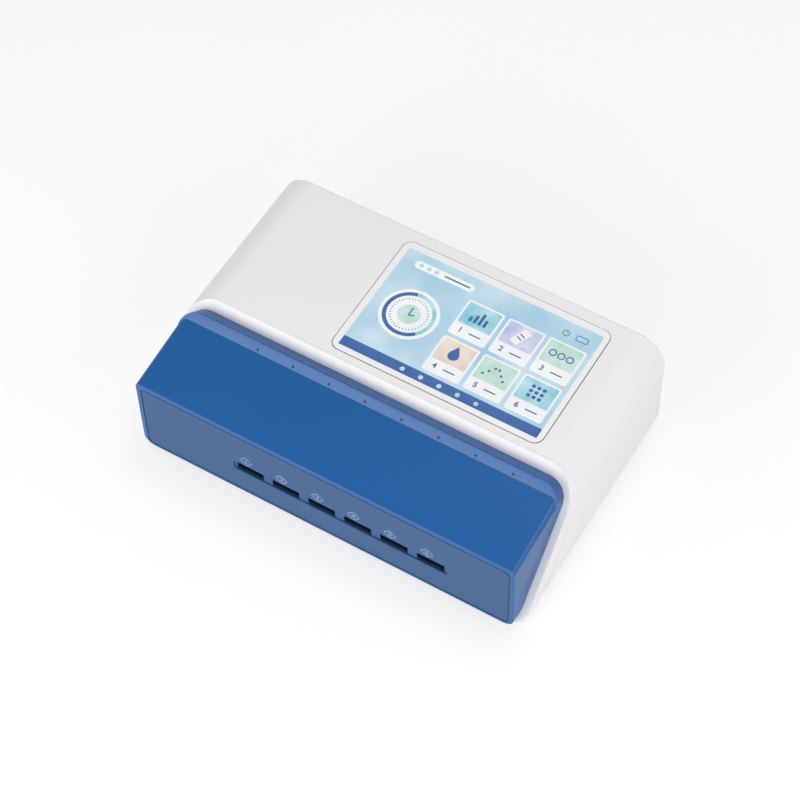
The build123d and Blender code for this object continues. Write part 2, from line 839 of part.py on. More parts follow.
def motor_shaft():
    low, high = coupling_span()
    return bar_y(screw_x, rod_z, 2.5, (low + high) / 2 + 1, chassis_back_y + 6)


def shaft_coupling():
    low, high = coupling_span()
    body = bar_y(screw_x, rod_z, coupling_radius, low, high)
    body = chamfer(body.edges().filter_by(GeomType.CIRCLE), 0.6)
    body -= bar_y(screw_x, rod_z, screw_radius, low - 1, (low + high) / 2)
    body -= bar_y(screw_x, rod_z, 2.5, (low + high) / 2, high + 1)
    # two clamp screw flats and the helical cuts' grooves
    for k in range(3):
        y = (low + high) / 2 + (k - 1) * 2.2
        groove = bar_y(screw_x, rod_z, coupling_radius + 1, y - 0.4, y + 0.4)
        body -= groove - bar_y(screw_x, rod_z, coupling_radius - 1.5, y - 1, y + 1)
    return body


def motor_body(size, length, x, z, y_front, bore, ends):
    body = block((x - size / 2, x + size / 2), (y_front, y_front + length), (z - size / 2, z + size / 2))
    body = chamfer(body.edges().filter_by(Axis.Y), size * 0.09)
    # laminated middle between the two end caps
    waist = block((x - size, x + size), (y_front + ends, y_front + length - ends), (z - size, z + size))
    core = block((x - size / 2 + 0.5, x + size / 2 - 0.5), (y_front, y_front + length),
                 (z - size / 2 + 0.5, z + size / 2 - 0.5))
    core = chamfer(core.edges().filter_by(Axis.Y), size * 0.13)
    body -= waist - core
    return body - bar_y(x, z, bore, y_front - 5, y_front + 7)


def scan_motor():
    body = motor_body(scan_motor_size, scan_motor_length, screw_x, rod_z, chassis_back_y,
                      2.5 + run_clearance, 7)
    for x, z in motor_screw_places():
        body -= bar_y(x, z, screw_shank_radius, chassis_back_y - 1, chassis_back_y + 4)
    return body


def motor_screws():
    face = chassis_back_y - sheet
    return [bar_y(x, z, 2.2, face - 1.4, face) + bar_y(x, z, screw_shank_radius, face, chassis_back_y + 3.5)
            for x, z in motor_screw_places()]


# Gantry

def gantry_span():
    return gantry_home_y - gantry_depth / 2, gantry_home_y + gantry_depth / 2


def leg_faces():
    reach = head_width / 2 + leg_clearance
    return lane_x[0] - reach, lane_x[-1] + reach


def gantry_beam():
    low_y, high_y = gantry_span()
    left, right = -rod_x - leg_outside, rod_x + leg_outside
    inner_left, inner_right = leg_faces()
    points = [(left, leg_low), (inner_left, leg_low), (inner_left, beam_low), (inner_right, beam_low),
              (inner_right, leg_low), (right, leg_low), (right, beam_high), (left, beam_high)]
    outline = make_face(Polyline(*points, close=True))
    corners = outline.vertices().filter_by(lambda v: abs(v.Y - beam_high) < 0.01)
    outline = fillet(corners, 4)
    beam = along_y(outline, low_y, high_y)
    # pockets in the top leave a ribbed beam
    pockets = 5
    span_low, span_high = inner_left, drive_x - head_motor_size / 2 - 4
    step = (span_high - span_low) / pockets
    for k in range(pockets):
        middle = span_low + (k + 0.5) * step
        pocket = Pos(middle, gantry_home_y) * RectangleRounded(step - 4, gantry_depth - 6, 3)
        beam -= along_z(pocket, beam_low + 3, beam_high + 1)
    # plate for the belt motor on the back
    half = head_motor_size / 2 + motor_plate_margin
    beam += block((drive_x - half, drive_x + half), (high_y, high_y + head_motor_plate),
                  (pulley_z - half, pulley_z + half))
    beam -= bar_y(drive_x, pulley_z, 3.2, low_y - 1, high_y + head_motor_plate + 1)
    for side in (-1, 1):
        beam -= bar_y(side * rod_x, rod_z, bush_radius, low_y - 1, high_y + 1)
    beam -= bar_y(screw_x, rod_z, nut_radius, low_y - 1, high_y + 1)
    beam -= bar_y(idler_x, pulley_z, 1.5, low_y - 1, low_y + 8)
    return beam


def rod_bushes():
    low_y, _ = gantry_span()
    bushes = []
    for side in (-1, 1):
        start = gantry_home_y - bush_length / 2
        bush = bar_y(side * rod_x, rod_z, bush_radius, start, start + bush_length)
        bushes.append(bush - bar_y(side * rod_x, rod_z, rod_radius + run_clearance, start - 1,
                                   start + bush_length + 1))
    return bushes


def lead_nut():
    low_y, high_y = gantry_span()
    nut = bar_y(screw_x, rod_z, nut_radius, low_y, high_y - 4)
    nut += bar_y(screw_x, rod_z, nut_flange_radius, low_y - nut_flange, low_y)
    return nut - bar_y(screw_x, rod_z, screw_radius + run_clearance, low_y - 10, high_y + 10)


def cross_rail():
    half, low = rail_width / 2, beam_low - rail_height
    notch = 0.8
    side = [(half, beam_low), (half, low + 3.6), (half - notch, low + 3.0), (half - notch, low + 1.8),
            (half, low + 1.2), (half, low)]
    points = [(gantry_home_y + y, z) for y, z in side]
    points += [(gantry_home_y - y, z) for y, z in reversed(side)]
    return along_x(points, lane_x[0] - rail_overrun, lane_x[-1] + rail_overrun)


def idler_pin():
    low_y, _ = gantry_span()
    pin = bar_y(idler_x, pulley_z, 1.5, belt_span()[0] - 2.2, low_y + 8)
    return pin + bar_y(idler_x, pulley_z, 3.0, belt_span()[0] - 3.0, belt_span()[0] - 2.2)


def belt_span():
    low_y, _ = gantry_span()
    back = low_y - 1.9
    return back - belt_width, back


def timing_belt():
    low, high = belt_span()
    length = drive_x - idler_x
    middle = Pos((drive_x + idler_x) / 2, pulley_z)
    outer_radius = belt_inner_radius + belt_thickness
    outer = middle * SlotCenterToCenter(length, 2 * outer_radius)
    inner = middle * SlotCenterToCenter(length, 2 * belt_inner_radius)
    return along_y(outer - inner, low, high)


def toothed_pulley(x, bore):
    low, high = belt_span()
    rim = bar_y(x, pulley_z, pulley_radius, low - 0.2, high + 0.2)
    for k in range(pulley_teeth):
        angle = 2 * pi * (k + 0.5) / pulley_teeth
        rim -= bar_y(x + pulley_radius * cos(angle), pulley_z + pulley_radius * sin(angle), 0.55,
                     low - 0.2, high + 0.2)
    wide = pulley_radius + belt_thickness + 0.5
    rim += bar_y(x, pulley_z, wide, low - 0.2 - pulley_flange, low - 0.2)
    rim += bar_y(x, pulley_z, wide, high + 0.2, high + 0.2 + pulley_flange)
    return rim - bar_y(x, pulley_z, bore, low - 5, high + 5)


def drive_pulley():
    return toothed_pulley(drive_x, 2.0)


def idler_pulley():
    return toothed_pulley(idler_x, 1.5 + run_clearance)


def head_motor():
    _, high_y = gantry_span()
    return motor_body(head_motor_size, head_motor_length, drive_x, pulley_z, high_y + head_motor_plate,
                      2.0 + run_clearance, 6)


def head_motor_shaft():
    low, _ = belt_span()
    _, high_y = gantry_span()
    return bar_y(drive_x, pulley_z, 2.0, low - 1.0, high_y + head_motor_plate + 6)


# Optical head

def rail_carriage():
    half, low = rail_width / 2, beam_low - rail_height
    top = beam_low - 1.6
    bottom = top - rail_block_height + 0.4
    body = block((head_home_x - rail_block_length / 2, head_home_x + rail_block_length / 2),
                 (gantry_home_y - rail_block_width / 2, gantry_home_y + rail_block_width / 2), (bottom, top))
    slot = half + 2 * run_clearance
    body -= block((head_home_x - 20, head_home_x + 20), (gantry_home_y - slot, gantry_home_y + slot),
                  (low - 0.3, top + 1))
    return chamfer(body.edges().filter_by(Axis.Z).group_by(Axis.X)[0], 0.6)


def carriage_bottom():
    return beam_low - 1.6 - rail_block_height + 0.4


def column_span():
    return gantry_home_y - head_front, gantry_home_y - head_back


def head_housing():
    low_y, high_y = column_span()
    back_y = gantry_home_y + rail_block_width / 2
    half = head_width / 2
    side = [(low_y, head_low), (back_y, head_low), (back_y, carriage_bottom()), (high_y, carriage_bottom()),
            (high_y, beam_high), (low_y, beam_high)]
    housing = along_x(side, head_home_x - half, head_home_x + half)
    vertical = housing.edges().filter_by(Axis.Z).group_by(Axis.Y)[0]
    housing = fillet(vertical, 2.5)
    housing -= block((head_home_x - half + head_wall, head_home_x + half - head_wall),
                     (low_y + head_wall, high_y - head_wall), (head_floor, beam_high + 1))
    housing -= bar_z(head_home_x, gantry_home_y - lens_ahead, lens_radius, head_low - 1, head_floor + 1)
    # pocket that lightens the foot under the rail carriage
    housing -= block((head_home_x - half + 3, head_home_x + half - 3), (high_y + 3, back_y - 3),
                     (head_low - 1, carriage_bottom() - 2.5))
    return housing


def lens_barrel():
    y = gantry_home_y - lens_ahead
    barrel = bar_z(head_home_x, y, lens_radius, lens_low, head_floor - 1)
    return barrel - bar_z(head_home_x, y, lens_radius - 1.2, lens_low - 1, head_floor)


def objective_lens():
    y = gantry_home_y - lens_ahead
    radius = lens_radius - 1.2
    disc = bar_z(head_home_x, y, radius, lens_low + 1.5, lens_low + 4.5)
    dome = Pos(head_home_x, y, lens_low + 12.0) * Sphere(11.0)
    return disc & dome


def beam_splitter():
    y = gantry_home_y - lens_ahead
    return block((head_home_x - 4.5, head_home_x + 4.5), (y - 4.5, y + 4.5), (head_floor, head_floor + 9))


def excitation_lamp():
    y = gantry_home_y - lens_ahead
    z = head_floor + 4.5
    inner = head_home_x - head_width / 2 + head_wall
    return bar_x(y, z, 4.2, inner, head_home_x - 4.5) + bar_x(y, z, 4.5, inner, inner + 2)


def detector_board():
    low_y, high_y = column_span()
    half = head_width / 2
    return block((head_home_x - half, head_home_x + half), (low_y + 0.5, high_y), (beam_high, beam_high + 1.4))


def photodetector():
    y = gantry_home_y - lens_ahead
    can = bar_z(head_home_x, y, 4.1, beam_high - 6, beam_high)
    return can + bar_z(head_home_x, y, 4.6, beam_high - 1, beam_high)


def belt_clamp():
    # Reaches back from the column and holds the lower run of the belt, without touching
    # it here because the belt is drawn at rest on the gantry.
    _, high_y = column_span()
    low, high = belt_span()
    z = pulley_z - belt_inner_radius - belt_thickness / 2
    body = block((head_home_x - 7, head_home_x + 7), (high_y, high + 1.2), (z - 3.4, z + 3.0))
    slot = belt_thickness / 2 + 0.35
    return body - block((head_home_x - 8, head_home_x + 8), (low - 0.4, high + 2), (z - slot, z + slot))


# Electronics and sockets at the back

def board_span():
    high_y = back_in - main_board_back
    low_x = main_board_x - main_board[0] / 2
    return (low_x, low_x + main_board[0]), (high_y - main_board[1], high_y)


def circuit_board():
    x_span, y_span = board_span()
    board = block(x_span, y_span, (main_board_z, main_board_z + board_thickness))
    board = fillet(board.edges().filter_by(Axis.Z), 2)
    _, _, posts = floor_posts()
    for x, y in posts:
        board -= bar_z(x, y, screw_shank_radius + 0.2, 0, 30)
    return board


def board_screws():
    _, _, posts = floor_posts()
    top = main_board_z + board_thickness
    return [bar_z(x, y, screw_head_radius, top, top + 1.6) + bar_z(x, y, screw_shank_radius, 7.0, top)
            for x, y in posts]


def board_components():
    top = main_board_z + board_thickness
    x_span, y_span = board_span()
    low_x, low_y = x_span[0], y_span[0]
    parts = [block((low_x + 60, low_x + 74), (low_y + 14, low_y + 28), (top, top + 1.6)),
             block((low_x + 80, low_x + 91), (low_y + 12, low_y + 20), (top, top + 1.1)),
             block((low_x + 80, low_x + 91), (low_y + 23, low_y + 31), (top, top + 1.1)),
             block((low_x + 28, low_x + 35), (low_y + 10, low_y + 17), (top, top + 1.2)),
             block((low_x + 46, low_x + 53), (low_y + 34, low_y + 41), (top, top + 4.0)),
             block((low_x + 104, low_x + 130), (low_y + 3, low_y + 8), (top, top + 3.6)),
             block((low_x + 12, low_x + 24), (low_y + 3, low_y + 9), (top, top + 6.0)),
             bar_z(low_x + 146, low_y + 16, 10.2, top, top + 3.4)]
    for k in range(3):
        parts.append(bar_z(low_x + 26 + 9 * k, low_y + 27, 3.2, top, top + 7.5))
    return parts


socket_places = {"power": (0.0, 9.0, 11.0), "usb_left": (38.0, 13.2, 6.0), "usb_right": (58.0, 13.2, 6.0),
                 "network": (84.0, 16.0, 13.4)}


def socket_block(name, length):
    x, width, height = socket_places[name]
    top = main_board_z + board_thickness
    return block((x - width / 2, x + width / 2), (case_depth - socket_recess - length, case_depth - socket_recess),
                 (top, top + height))


def power_inlet():
    x, _, height = socket_places["power"]
    z = main_board_z + board_thickness + height / 2 + 0.3
    face = case_depth - socket_recess
    body = socket_block("power", 14.0)
    body -= bar_y(x, z, 3.2, face - 10, face + 1)
    return body + bar_y(x, z, 1.0, face - 10, face - 1)


def usb_ports():
    ports = []
    for name in ("usb_left", "usb_right"):
        x, width, height = socket_places[name]
        low = main_board_z + board_thickness
        face = case_depth - socket_recess
        shell = socket_block(name, 14.0)
        shell -= block((x - width / 2 + 0.4, x + width / 2 - 0.4), (face - 12, face + 1),
                       (low + 0.4, low + height - 0.4))
        tongue = block((x - 5.6, x + 5.6), (face - 12.5, face - 1), (low + height - 2.3, low + height - 0.4))
        ports.append(shell + tongue)
    return ports


def network_port():
    x, width, height = socket_places["network"]
    low = main_board_z + board_thickness
    face = case_depth - socket_recess
    body = socket_block("network", 21.0)
    body -= block((x - 5.9, x + 5.9), (face - 12, face + 1), (low + 2.4, low + 9.2))
    body -= block((x - 3.0, x + 3.0), (face - 12, face + 1), (low + 9.1, low + 10.8))
    return body


def back_holes():
    holes = []
    for x, width, height in socket_places.values():
        low = main_board_z + board_thickness
        holes.append(block((x - width / 2 - socket_gap, x + width / 2 + socket_gap),
                           (back_in - 1, case_depth + 1), (low - socket_gap, low + height + socket_gap)))
    half_x, half_z = switch_body[0] / 2 + 0.2, switch_body[1] / 2 + 0.2
    holes.append(block((switch_x - half_x, switch_x + half_x), (back_in - 1, case_depth + 1),
                       (switch_z - half_z, switch_z + half_z)))
    return holes


def rocker_pivot():
    return case_depth - 0.5, switch_z


def rocker_form():
    # Side view of the rocker about its pivot: a shallow V on a rounded belly.
    half = rocker_size[1] / 2
    return [(-5.0, -3.0), (-5.0, 3.0), (1.2, half), (4.2, half - 0.4), (2.6, 0.0), (4.2, 0.4 - half),
            (1.2, -half)]


def rocker_proud():
    tilt = radians(rocker_tilt)
    tip = max(y * cos(tilt) + abs(z) * sin(tilt) for y, z in rocker_form())
    return rocker_pivot()[0] + tip - case_depth - switch_frame[2]


def power_rocker():
    y, z = rocker_pivot()
    half = rocker_size[0] / 2
    body = along_x(rocker_form(), -half, half)
    body += bar_x(0, 0, rocker_pin_radius, -half - 1.2, half + 1.2)
    return Pos(switch_x, y, z) * Rot(rocker_tilt, 0, 0) * body


def power_switch_frame():
    y, z = rocker_pivot()
    wide, tall, thick = switch_frame
    body = block((switch_x - switch_body[0] / 2, switch_x + switch_body[0] / 2),
                 (case_depth - switch_body[2], case_depth),
                 (switch_z - switch_body[1] / 2, switch_z + switch_body[1] / 2))
    flange = Pos(switch_x, switch_z) * RectangleRounded(wide, tall, 1.2)
    body += along_y(flange, case_depth, case_depth + thick)
    half_x, half_z = rocker_size[0] / 2 + 0.3, rocker_size[1] / 2 + 0.6
    body -= block((switch_x - half_x, switch_x + half_x), (case_depth - 8, case_depth + thick + 1),
                  (switch_z - half_z, switch_z + half_z))
    body -= bar_x(y, z, rocker_pin_radius + run_clearance, switch_x - half_x - 1.3, switch_x + half_x + 1.3)
    # terminals at the back of the switch
    for dz in (-5.0, 5.0):
        body += block((switch_x - 2.4, switch_x + 2.4), (case_depth - switch_body[2] - 7, case_depth - switch_body[2]),
                      (switch_z + dz - 0.4, switch_z + dz + 0.4))
    return body


def listed(result):
    return result if isinstance(result, list) else [result]


pieces = {
    "main_housing": main_housing,
    "front_bezel": front_bezel,
    "bezel_screws": tab_screws,
    "base_plate": base_plate,
    "rubber_feet": rubber_feet,
    "base_screws": base_screws,
    "tray_screws": tray_screws,
    "reader_cover": reader_cover,
    "slot_panel": slot_panel,
    "cover_screws": cover_screws,
    "indicator_light_pipes": indicator_light_pipes,
    "indicator_board": indicator_board,
    "indicator_lamps": indicator_lamps,
    "display_glass": display_glass,
    "display_module": display_module,
    "display_bracket": display_bracket,
    "bracket_screws": bracket_screws,
    "cassette_tray": cassette_tray,
    "lane_springs": lane_springs,
    "sensor_board": sensor_board,
    "cassette_sensors": cassette_sensors,
    "chassis_frame": chassis_frame,
    "chassis_screws": chassis_screws,
    "rod_blocks": rod_blocks,
    "guide_rods": guide_rods,
    "screw_end_plate": screw_end_plate,
    "screw_bearing": screw_bearing,
    "lead_screw": lead_screw,
    "motor_shaft": motor_shaft,
    "shaft_coupling": shaft_coupling,
    "scan_motor": scan_motor,
    "motor_screws": motor_screws,
    "gantry_beam": gantry_beam,
    "rod_bushes": rod_bushes,
    "lead_nut": lead_nut,
    "cross_rail": cross_rail,
    "idler_pin": idler_pin,
    "timing_belt": timing_belt,
    "drive_pulley": drive_pulley,
    "idler_pulley": idler_pulley,
    "head_motor": head_motor,
    "head_motor_shaft": head_motor_shaft,
    "rail_carriage": rail_carriage,
    "head_housing": head_housing,
    "lens_barrel": lens_barrel,
    "objective_lens": objective_lens,
    "beam_splitter": beam_splitter,
    "excitation_lamp": excitation_lamp,
    "detector_board": detector_board,
    "photodetector": photodetector,
    "belt_clamp": belt_clamp,
    "circuit_board": circuit_board,
    "board_screws": board_screws,
    "board_components": board_components,
    "power_inlet": power_inlet,
    "usb_ports": usb_ports,
    "network_port": network_port,
    "power_switch_frame": power_switch_frame,
    "power_rocker": power_rocker,
}

os.makedirs("parts", exist_ok=True)
for name, make in pieces.items():
    save(name, *listed(make()))
print(len(pieces), "nodes written")
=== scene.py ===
import bpy, bmesh, math
from mathutils import Vector, Matrix


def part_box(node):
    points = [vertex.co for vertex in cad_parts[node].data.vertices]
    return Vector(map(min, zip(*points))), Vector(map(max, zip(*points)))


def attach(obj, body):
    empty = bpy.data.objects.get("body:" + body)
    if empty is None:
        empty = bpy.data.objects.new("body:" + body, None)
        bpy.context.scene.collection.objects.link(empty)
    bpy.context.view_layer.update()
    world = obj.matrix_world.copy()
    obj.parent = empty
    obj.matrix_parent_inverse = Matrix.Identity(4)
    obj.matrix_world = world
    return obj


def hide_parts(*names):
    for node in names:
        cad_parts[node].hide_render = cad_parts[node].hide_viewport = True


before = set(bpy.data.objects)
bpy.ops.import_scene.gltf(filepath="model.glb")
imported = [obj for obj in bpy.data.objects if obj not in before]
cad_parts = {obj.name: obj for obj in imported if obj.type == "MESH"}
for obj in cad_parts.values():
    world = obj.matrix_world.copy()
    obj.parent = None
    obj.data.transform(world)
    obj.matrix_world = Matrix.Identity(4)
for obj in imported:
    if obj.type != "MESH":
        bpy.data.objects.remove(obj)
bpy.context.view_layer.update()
scene = bpy.context.scene
print("frame loaded")


# Places read from the frame

housingLow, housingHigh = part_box("main_housing")
coverLow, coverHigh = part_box("reader_cover")
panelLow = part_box("slot_panel")[0]
glassLow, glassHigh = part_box("display_glass")


# Camera, turned and placed as the photograph was taken

camera = dict(turn=32.199, high=55.494, roll=-1.573, distance=1.65335, lens=110.72,
              aimRight=0.04818, aimUp=0.08575, aimFrom=(0.0, -0.0957685, 0.003))


def makeCamera(v):
    turn, high, roll = (math.radians(v[k]) for k in ("turn", "high", "roll"))
    back = Vector((math.sin(turn) * math.cos(high), -math.cos(turn) * math.cos(high), math.sin(high)))
    level = Vector((math.cos(turn), math.sin(turn), 0))
    steep = back.cross(level)
    right = math.cos(roll) * level + math.sin(roll) * steep
    up = back.cross(right)
    place = Vector(v["aimFrom"]) + v["aimRight"] * right + v["aimUp"] * up + v["distance"] * back
    data = bpy.data.cameras.new("camera")
    data.lens = v["lens"]
    data.clip_start = 0.05
    cam = bpy.data.objects.new("camera", data)
    cam.matrix_world = Matrix.Translation(place) @ Matrix((right, up, back)).transposed().to_4x4()
    scene.collection.objects.link(cam)
    scene.camera = cam


makeCamera(camera)
scene.view_settings.view_transform = "Standard"
print("camera placed")


# Shader helpers

def newMaterial(name):
    mat = bpy.data.materials.new(name)
    mat.use_nodes = True
    tree = mat.node_tree
    tree.nodes.clear()
    return mat, tree


def addNode(tree, kind, inputs=None, **values):
    # A node with its settings, and its sockets by name or number.
    node = tree.nodes.new(kind)
    for key, value in values.items():
        setattr(node, key, value)
    for key, value in (inputs or {}).items():
        node.inputs[key].default_value = value
    return node


def newSkin(tree, **inputs):
    # Output and Principled shader, and the object's own coordinates.
    out = addNode(tree, "ShaderNodeOutputMaterial")
    skin = addNode(tree, "ShaderNodeBsdfPrincipled", inputs)
    tree.links.new(skin.outputs[0], out.inputs[0])
    return skin, addNode(tree, "ShaderNodeTexCoord").outputs["Object"]


def noise(tree, where, scale, detail):
    # Soft random drift between 0 and 1 over the object.
    cloud = addNode(tree, "ShaderNodeTexNoise", {"Scale": scale, "Detail": detail})
    tree.links.new(where, cloud.inputs["Vector"])
    return cloud.outputs[0]


def rangeOf(tree, value, inputs):
    # The value stretched between the ends in inputs.
    spread = addNode(tree, "ShaderNodeMapRange", inputs)
    tree.links.new(value, spread.inputs["Value"])
    return spread.outputs[0]


def blend(tree, share, look):
    # The finish's two colours, mixed by share; sockets 6 and 7 are the colours, output 2 the result.
    colours = {6: (*look["colour"], 1), 7: (*look["colourTwo"], 1)}
    tone = addNode(tree, "ShaderNodeMix", colours, data_type="RGBA")
    tree.links.new(share, tone.inputs[0])
    return tone.outputs[2]


def addBump(tree, skin, height, strength, distance):
    bump = addNode(tree, "ShaderNodeBump", {"Strength": strength, "Distance": distance})
    tree.links.new(height, bump.inputs["Height"])
    tree.links.new(bump.outputs[0], skin.inputs["Normal"])


plastic = dict(ior=1.46, shine=0.5, drift=9, driftDetail=2, grainScale=2600, grainDetail=3, glossVary=0.04,
               bump=0.12, bumpDeep=0.00004)
rolled = dict(stretch=(1, 1, 1), grainScale=1800, grainDetail=4, glossLess=0.06, glossMore=0.08, bump=0.15,
              bumpDeep=0.00003)
clear = dict(ripple=60, rippleDetail=2, bump=0.02, bumpDeep=0.00002)


def moulded(name, look):
    # Moulded plastic: slow drift of colour, fine spark texture, slightly uneven gloss.
    v = {**plastic, **look}
    mat, tree = newMaterial(name)
    skin, where = newSkin(tree, **{"IOR": v["ior"], "Specular IOR Level": v["shine"]})
    tone = blend(tree, noise(tree, where, v["drift"], v["driftDetail"]), v)
    tree.links.new(tone, skin.inputs["Base Color"])
    grain = noise(tree, where, v["grainScale"], v["grainDetail"])
    gloss = rangeOf(tree, grain, {"To Min": v["rough"] - v["glossVary"],
                                  "To Max": v["rough"] + v["glossVary"]})
    tree.links.new(gloss, skin.inputs["Roughness"])
    addBump(tree, skin, grain, v["bump"], v["bumpDeep"])
    return mat


def metal(name, look):
    # Machined or rolled metal: fine lines along one axis, or an even grain.
    v = {**rolled, **look}
    mat, tree = newMaterial(name)
    skin, where = newSkin(tree, Metallic=1)
    turn = addNode(tree, "ShaderNodeMapping", {"Scale": v["stretch"]})
    tree.links.new(where, turn.inputs["Vector"])
    lines = noise(tree, turn.outputs[0], v["grainScale"], v["grainDetail"])
    tree.links.new(blend(tree, lines, v), skin.inputs["Base Color"])
    gloss = rangeOf(tree, lines, {"To Min": v["rough"] - v["glossLess"],
                                  "To Max": v["rough"] + v["glossMore"]})
    tree.links.new(gloss, skin.inputs["Roughness"])
    addBump(tree, skin, lines, v["bump"], v["bumpDeep"])
    return mat


def clearPane(name, look):
    # Clear moulding or glass that lets the lamps through to what lies behind it.
    v = {**clear, **look}
    mat, tree = newMaterial(name)
    link = tree.links.new
    out = addNode(tree, "ShaderNodeOutputMaterial")
    pane = addNode(tree, "ShaderNodeBsdfPrincipled",
                   {"Base Color": (*v["colour"], 1), "Transmission Weight": 1, "Roughness": v["rough"],
                    "IOR": v["ior"]})
    through = addNode(tree, "ShaderNodeBsdfTransparent")
    ray = addNode(tree, "ShaderNodeLightPath")
    mix = addNode(tree, "ShaderNodeMixShader")
    link(ray.outputs["Is Shadow Ray"], mix.inputs[0])
    link(pane.outputs[0], mix.inputs[1])
    link(through.outputs[0], mix.inputs[2])
    link(mix.outputs[0], out.inputs[0])
    where = addNode(tree, "ShaderNodeTexCoord").outputs["Object"]
    addBump(tree, pane, noise(tree, where, v["ripple"], v["rippleDetail"]), v["bump"], v["bumpDeep"])
    return mat


finishes = dict(
    caseWhite=dict(colour=(0.80, 0.79, 0.81), colourTwo=(0.83, 0.82, 0.835), rough=0.42),
    plateGrey=dict(colour=(0.70, 0.70, 0.71), colourTwo=(0.74, 0.74, 0.75), rough=0.5),
    coverBlue=dict(colour=(0.008, 0.090, 0.295), colourTwo=(0.010, 0.098, 0.315), rough=0.34, shine=0.46),
    panelBlue=dict(colour=(0.011, 0.072, 0.205), colourTwo=(0.014, 0.079, 0.225), rough=0.42, bump=0.16),
    smokedAcrylic=dict(colour=(0.004, 0.008, 0.020), colourTwo=(0.006, 0.011, 0.026), rough=0.2, shine=0.3),
    # Near-black navy for the tray's lane ends behind the slots, darker than the tray's own plastic: painted
    # shade of the slots' inside
    mouthShadeNavy=dict(colour=(0.0015, 0.008, 0.022), colourTwo=(0.002, 0.010, 0.026), rough=0.6, shine=0.1),
    # Grey of the strips along the case sides: painted shadow of the joint between the front moulding and the
    # housing
    seamShadowGrey=dict(colour=(0.17, 0.17, 0.18), colourTwo=(0.20, 0.20, 0.21), rough=0.7),
    borderWhite=dict(colour=(0.83, 0.83, 0.845), colourTwo=(0.86, 0.86, 0.87), rough=0.2, bump=0.03),
    printPale=dict(colour=(0.17, 0.28, 0.52), colourTwo=(0.19, 0.30, 0.55), rough=0.45),
    trayBlack=dict(colour=(0.020, 0.035, 0.055), colourTwo=(0.026, 0.042, 0.062), rough=0.45),
    socketBlack=dict(colour=(0.018, 0.018, 0.020), colourTwo=(0.024, 0.024, 0.026), rough=0.4),
    footRubber=dict(colour=(0.030, 0.030, 0.032), colourTwo=(0.038, 0.038, 0.040), rough=0.8,
                    bump=0.5, grainScale=1500),
    boardGreen=dict(colour=(0.010, 0.125, 0.050), colourTwo=(0.014, 0.150, 0.060), rough=0.3),
    packageBlack=dict(colour=(0.022, 0.022, 0.024), colourTwo=(0.030, 0.030, 0.032), rough=0.5),
    motorBlack=dict(colour=(0.030, 0.030, 0.032), colourTwo=(0.040, 0.040, 0.042), rough=0.38),
    headBlack=dict(colour=(0.028, 0.028, 0.031), colourTwo=(0.036, 0.036, 0.040), rough=0.45),
    beltRubber=dict(colour=(0.020, 0.020, 0.021), colourTwo=(0.028, 0.028, 0.029), rough=0.7,
                    bump=0.4, grainScale=1500),
    lampWhite=dict(colour=(0.75, 0.78, 0.72), colourTwo=(0.80, 0.82, 0.76), rough=0.35),
)
metals = dict(
    sheetSteel=dict(colour=(0.55, 0.56, 0.57), colourTwo=(0.62, 0.63, 0.64), rough=0.34,
                    stretch=(1, 0.06, 1)),
    springSteel=dict(colour=(0.60, 0.60, 0.60), colourTwo=(0.68, 0.68, 0.68), rough=0.25,
                     stretch=(1, 0.05, 1)),
    groundSteel=dict(colour=(0.60, 0.60, 0.62), colourTwo=(0.68, 0.68, 0.70), rough=0.2,
                     stretch=(1, 0.04, 1)),
    plainAlloy=dict(colour=(0.66, 0.67, 0.69), colourTwo=(0.72, 0.73, 0.75), rough=0.36,
                    stretch=(0.1, 1, 1)),
    bronze=dict(colour=(0.62, 0.42, 0.20), colourTwo=(0.70, 0.50, 0.26), rough=0.35),
    screwZinc=dict(colour=(0.58, 0.58, 0.60), colourTwo=(0.66, 0.66, 0.68), rough=0.28),
    socketTin=dict(colour=(0.66, 0.66, 0.67), colourTwo=(0.72, 0.72, 0.73), rough=0.24),
)
panes = dict(
    coverGlass=dict(colour=(1.0, 1.0, 1.0), rough=0.0, ior=1.45),
    opticGlass=dict(colour=(0.90, 0.97, 0.96), rough=0.0, ior=1.5),
)

worn = dict(
    caseWhite=["main_housing", "front_bezel"], plateGrey=["base_plate"],
    trayBlack=["cassette_tray"],
    socketBlack=["power_inlet", "network_port", "power_switch_frame", "power_rocker"],
    footRubber=["rubber_feet"],
    boardGreen=["circuit_board", "sensor_board", "indicator_board", "detector_board"],
    packageBlack=["board_components", "cassette_sensors", "photodetector", "excitation_lamp"],
    motorBlack=["scan_motor", "head_motor"], headBlack=["head_housing", "lens_barrel", "belt_clamp"],
    beltRubber=["timing_belt"], lampWhite=["indicator_lamps"],
    sheetSteel=["display_bracket", "chassis_frame", "screw_end_plate"], springSteel=["lane_springs"],
    groundSteel=["guide_rods", "lead_screw", "motor_shaft", "cross_rail", "idler_pin", "head_motor_shaft",
                 "rail_carriage"],
    plainAlloy=["rod_blocks", "gantry_beam", "shaft_coupling", "drive_pulley", "idler_pulley"],
    bronze=["screw_bearing", "rod_bushes", "lead_nut"],
    screwZinc=["bezel_screws", "base_screws", "tray_screws", "cover_screws", "bracket_screws",
               "chassis_screws", "motor_screws", "board_screws"],
    socketTin=["usb_ports"], coverGlass=["display_glass"],
    smokedAcrylic=["indicator_light_pipes"], opticGlass=["objective_lens", "beam_splitter"],
)

made = {name: moulded(name, look) for name, look in finishes.items()}
made.update({name: metal(name, look) for name, look in metals.items()})
made.update({name: clearPane(name, look) for name, look in panes.items()})


def dress(node, mat):
    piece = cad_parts[node]
    piece.data.materials.clear()
    piece.data.materials.append(mat)


for finish, nodes in worn.items():
    for node in nodes:
        dress(node, made[finish])
print("finishes made")


# Shapes drawn flat, in mm, and stood on a face of the object

mm = 0.001


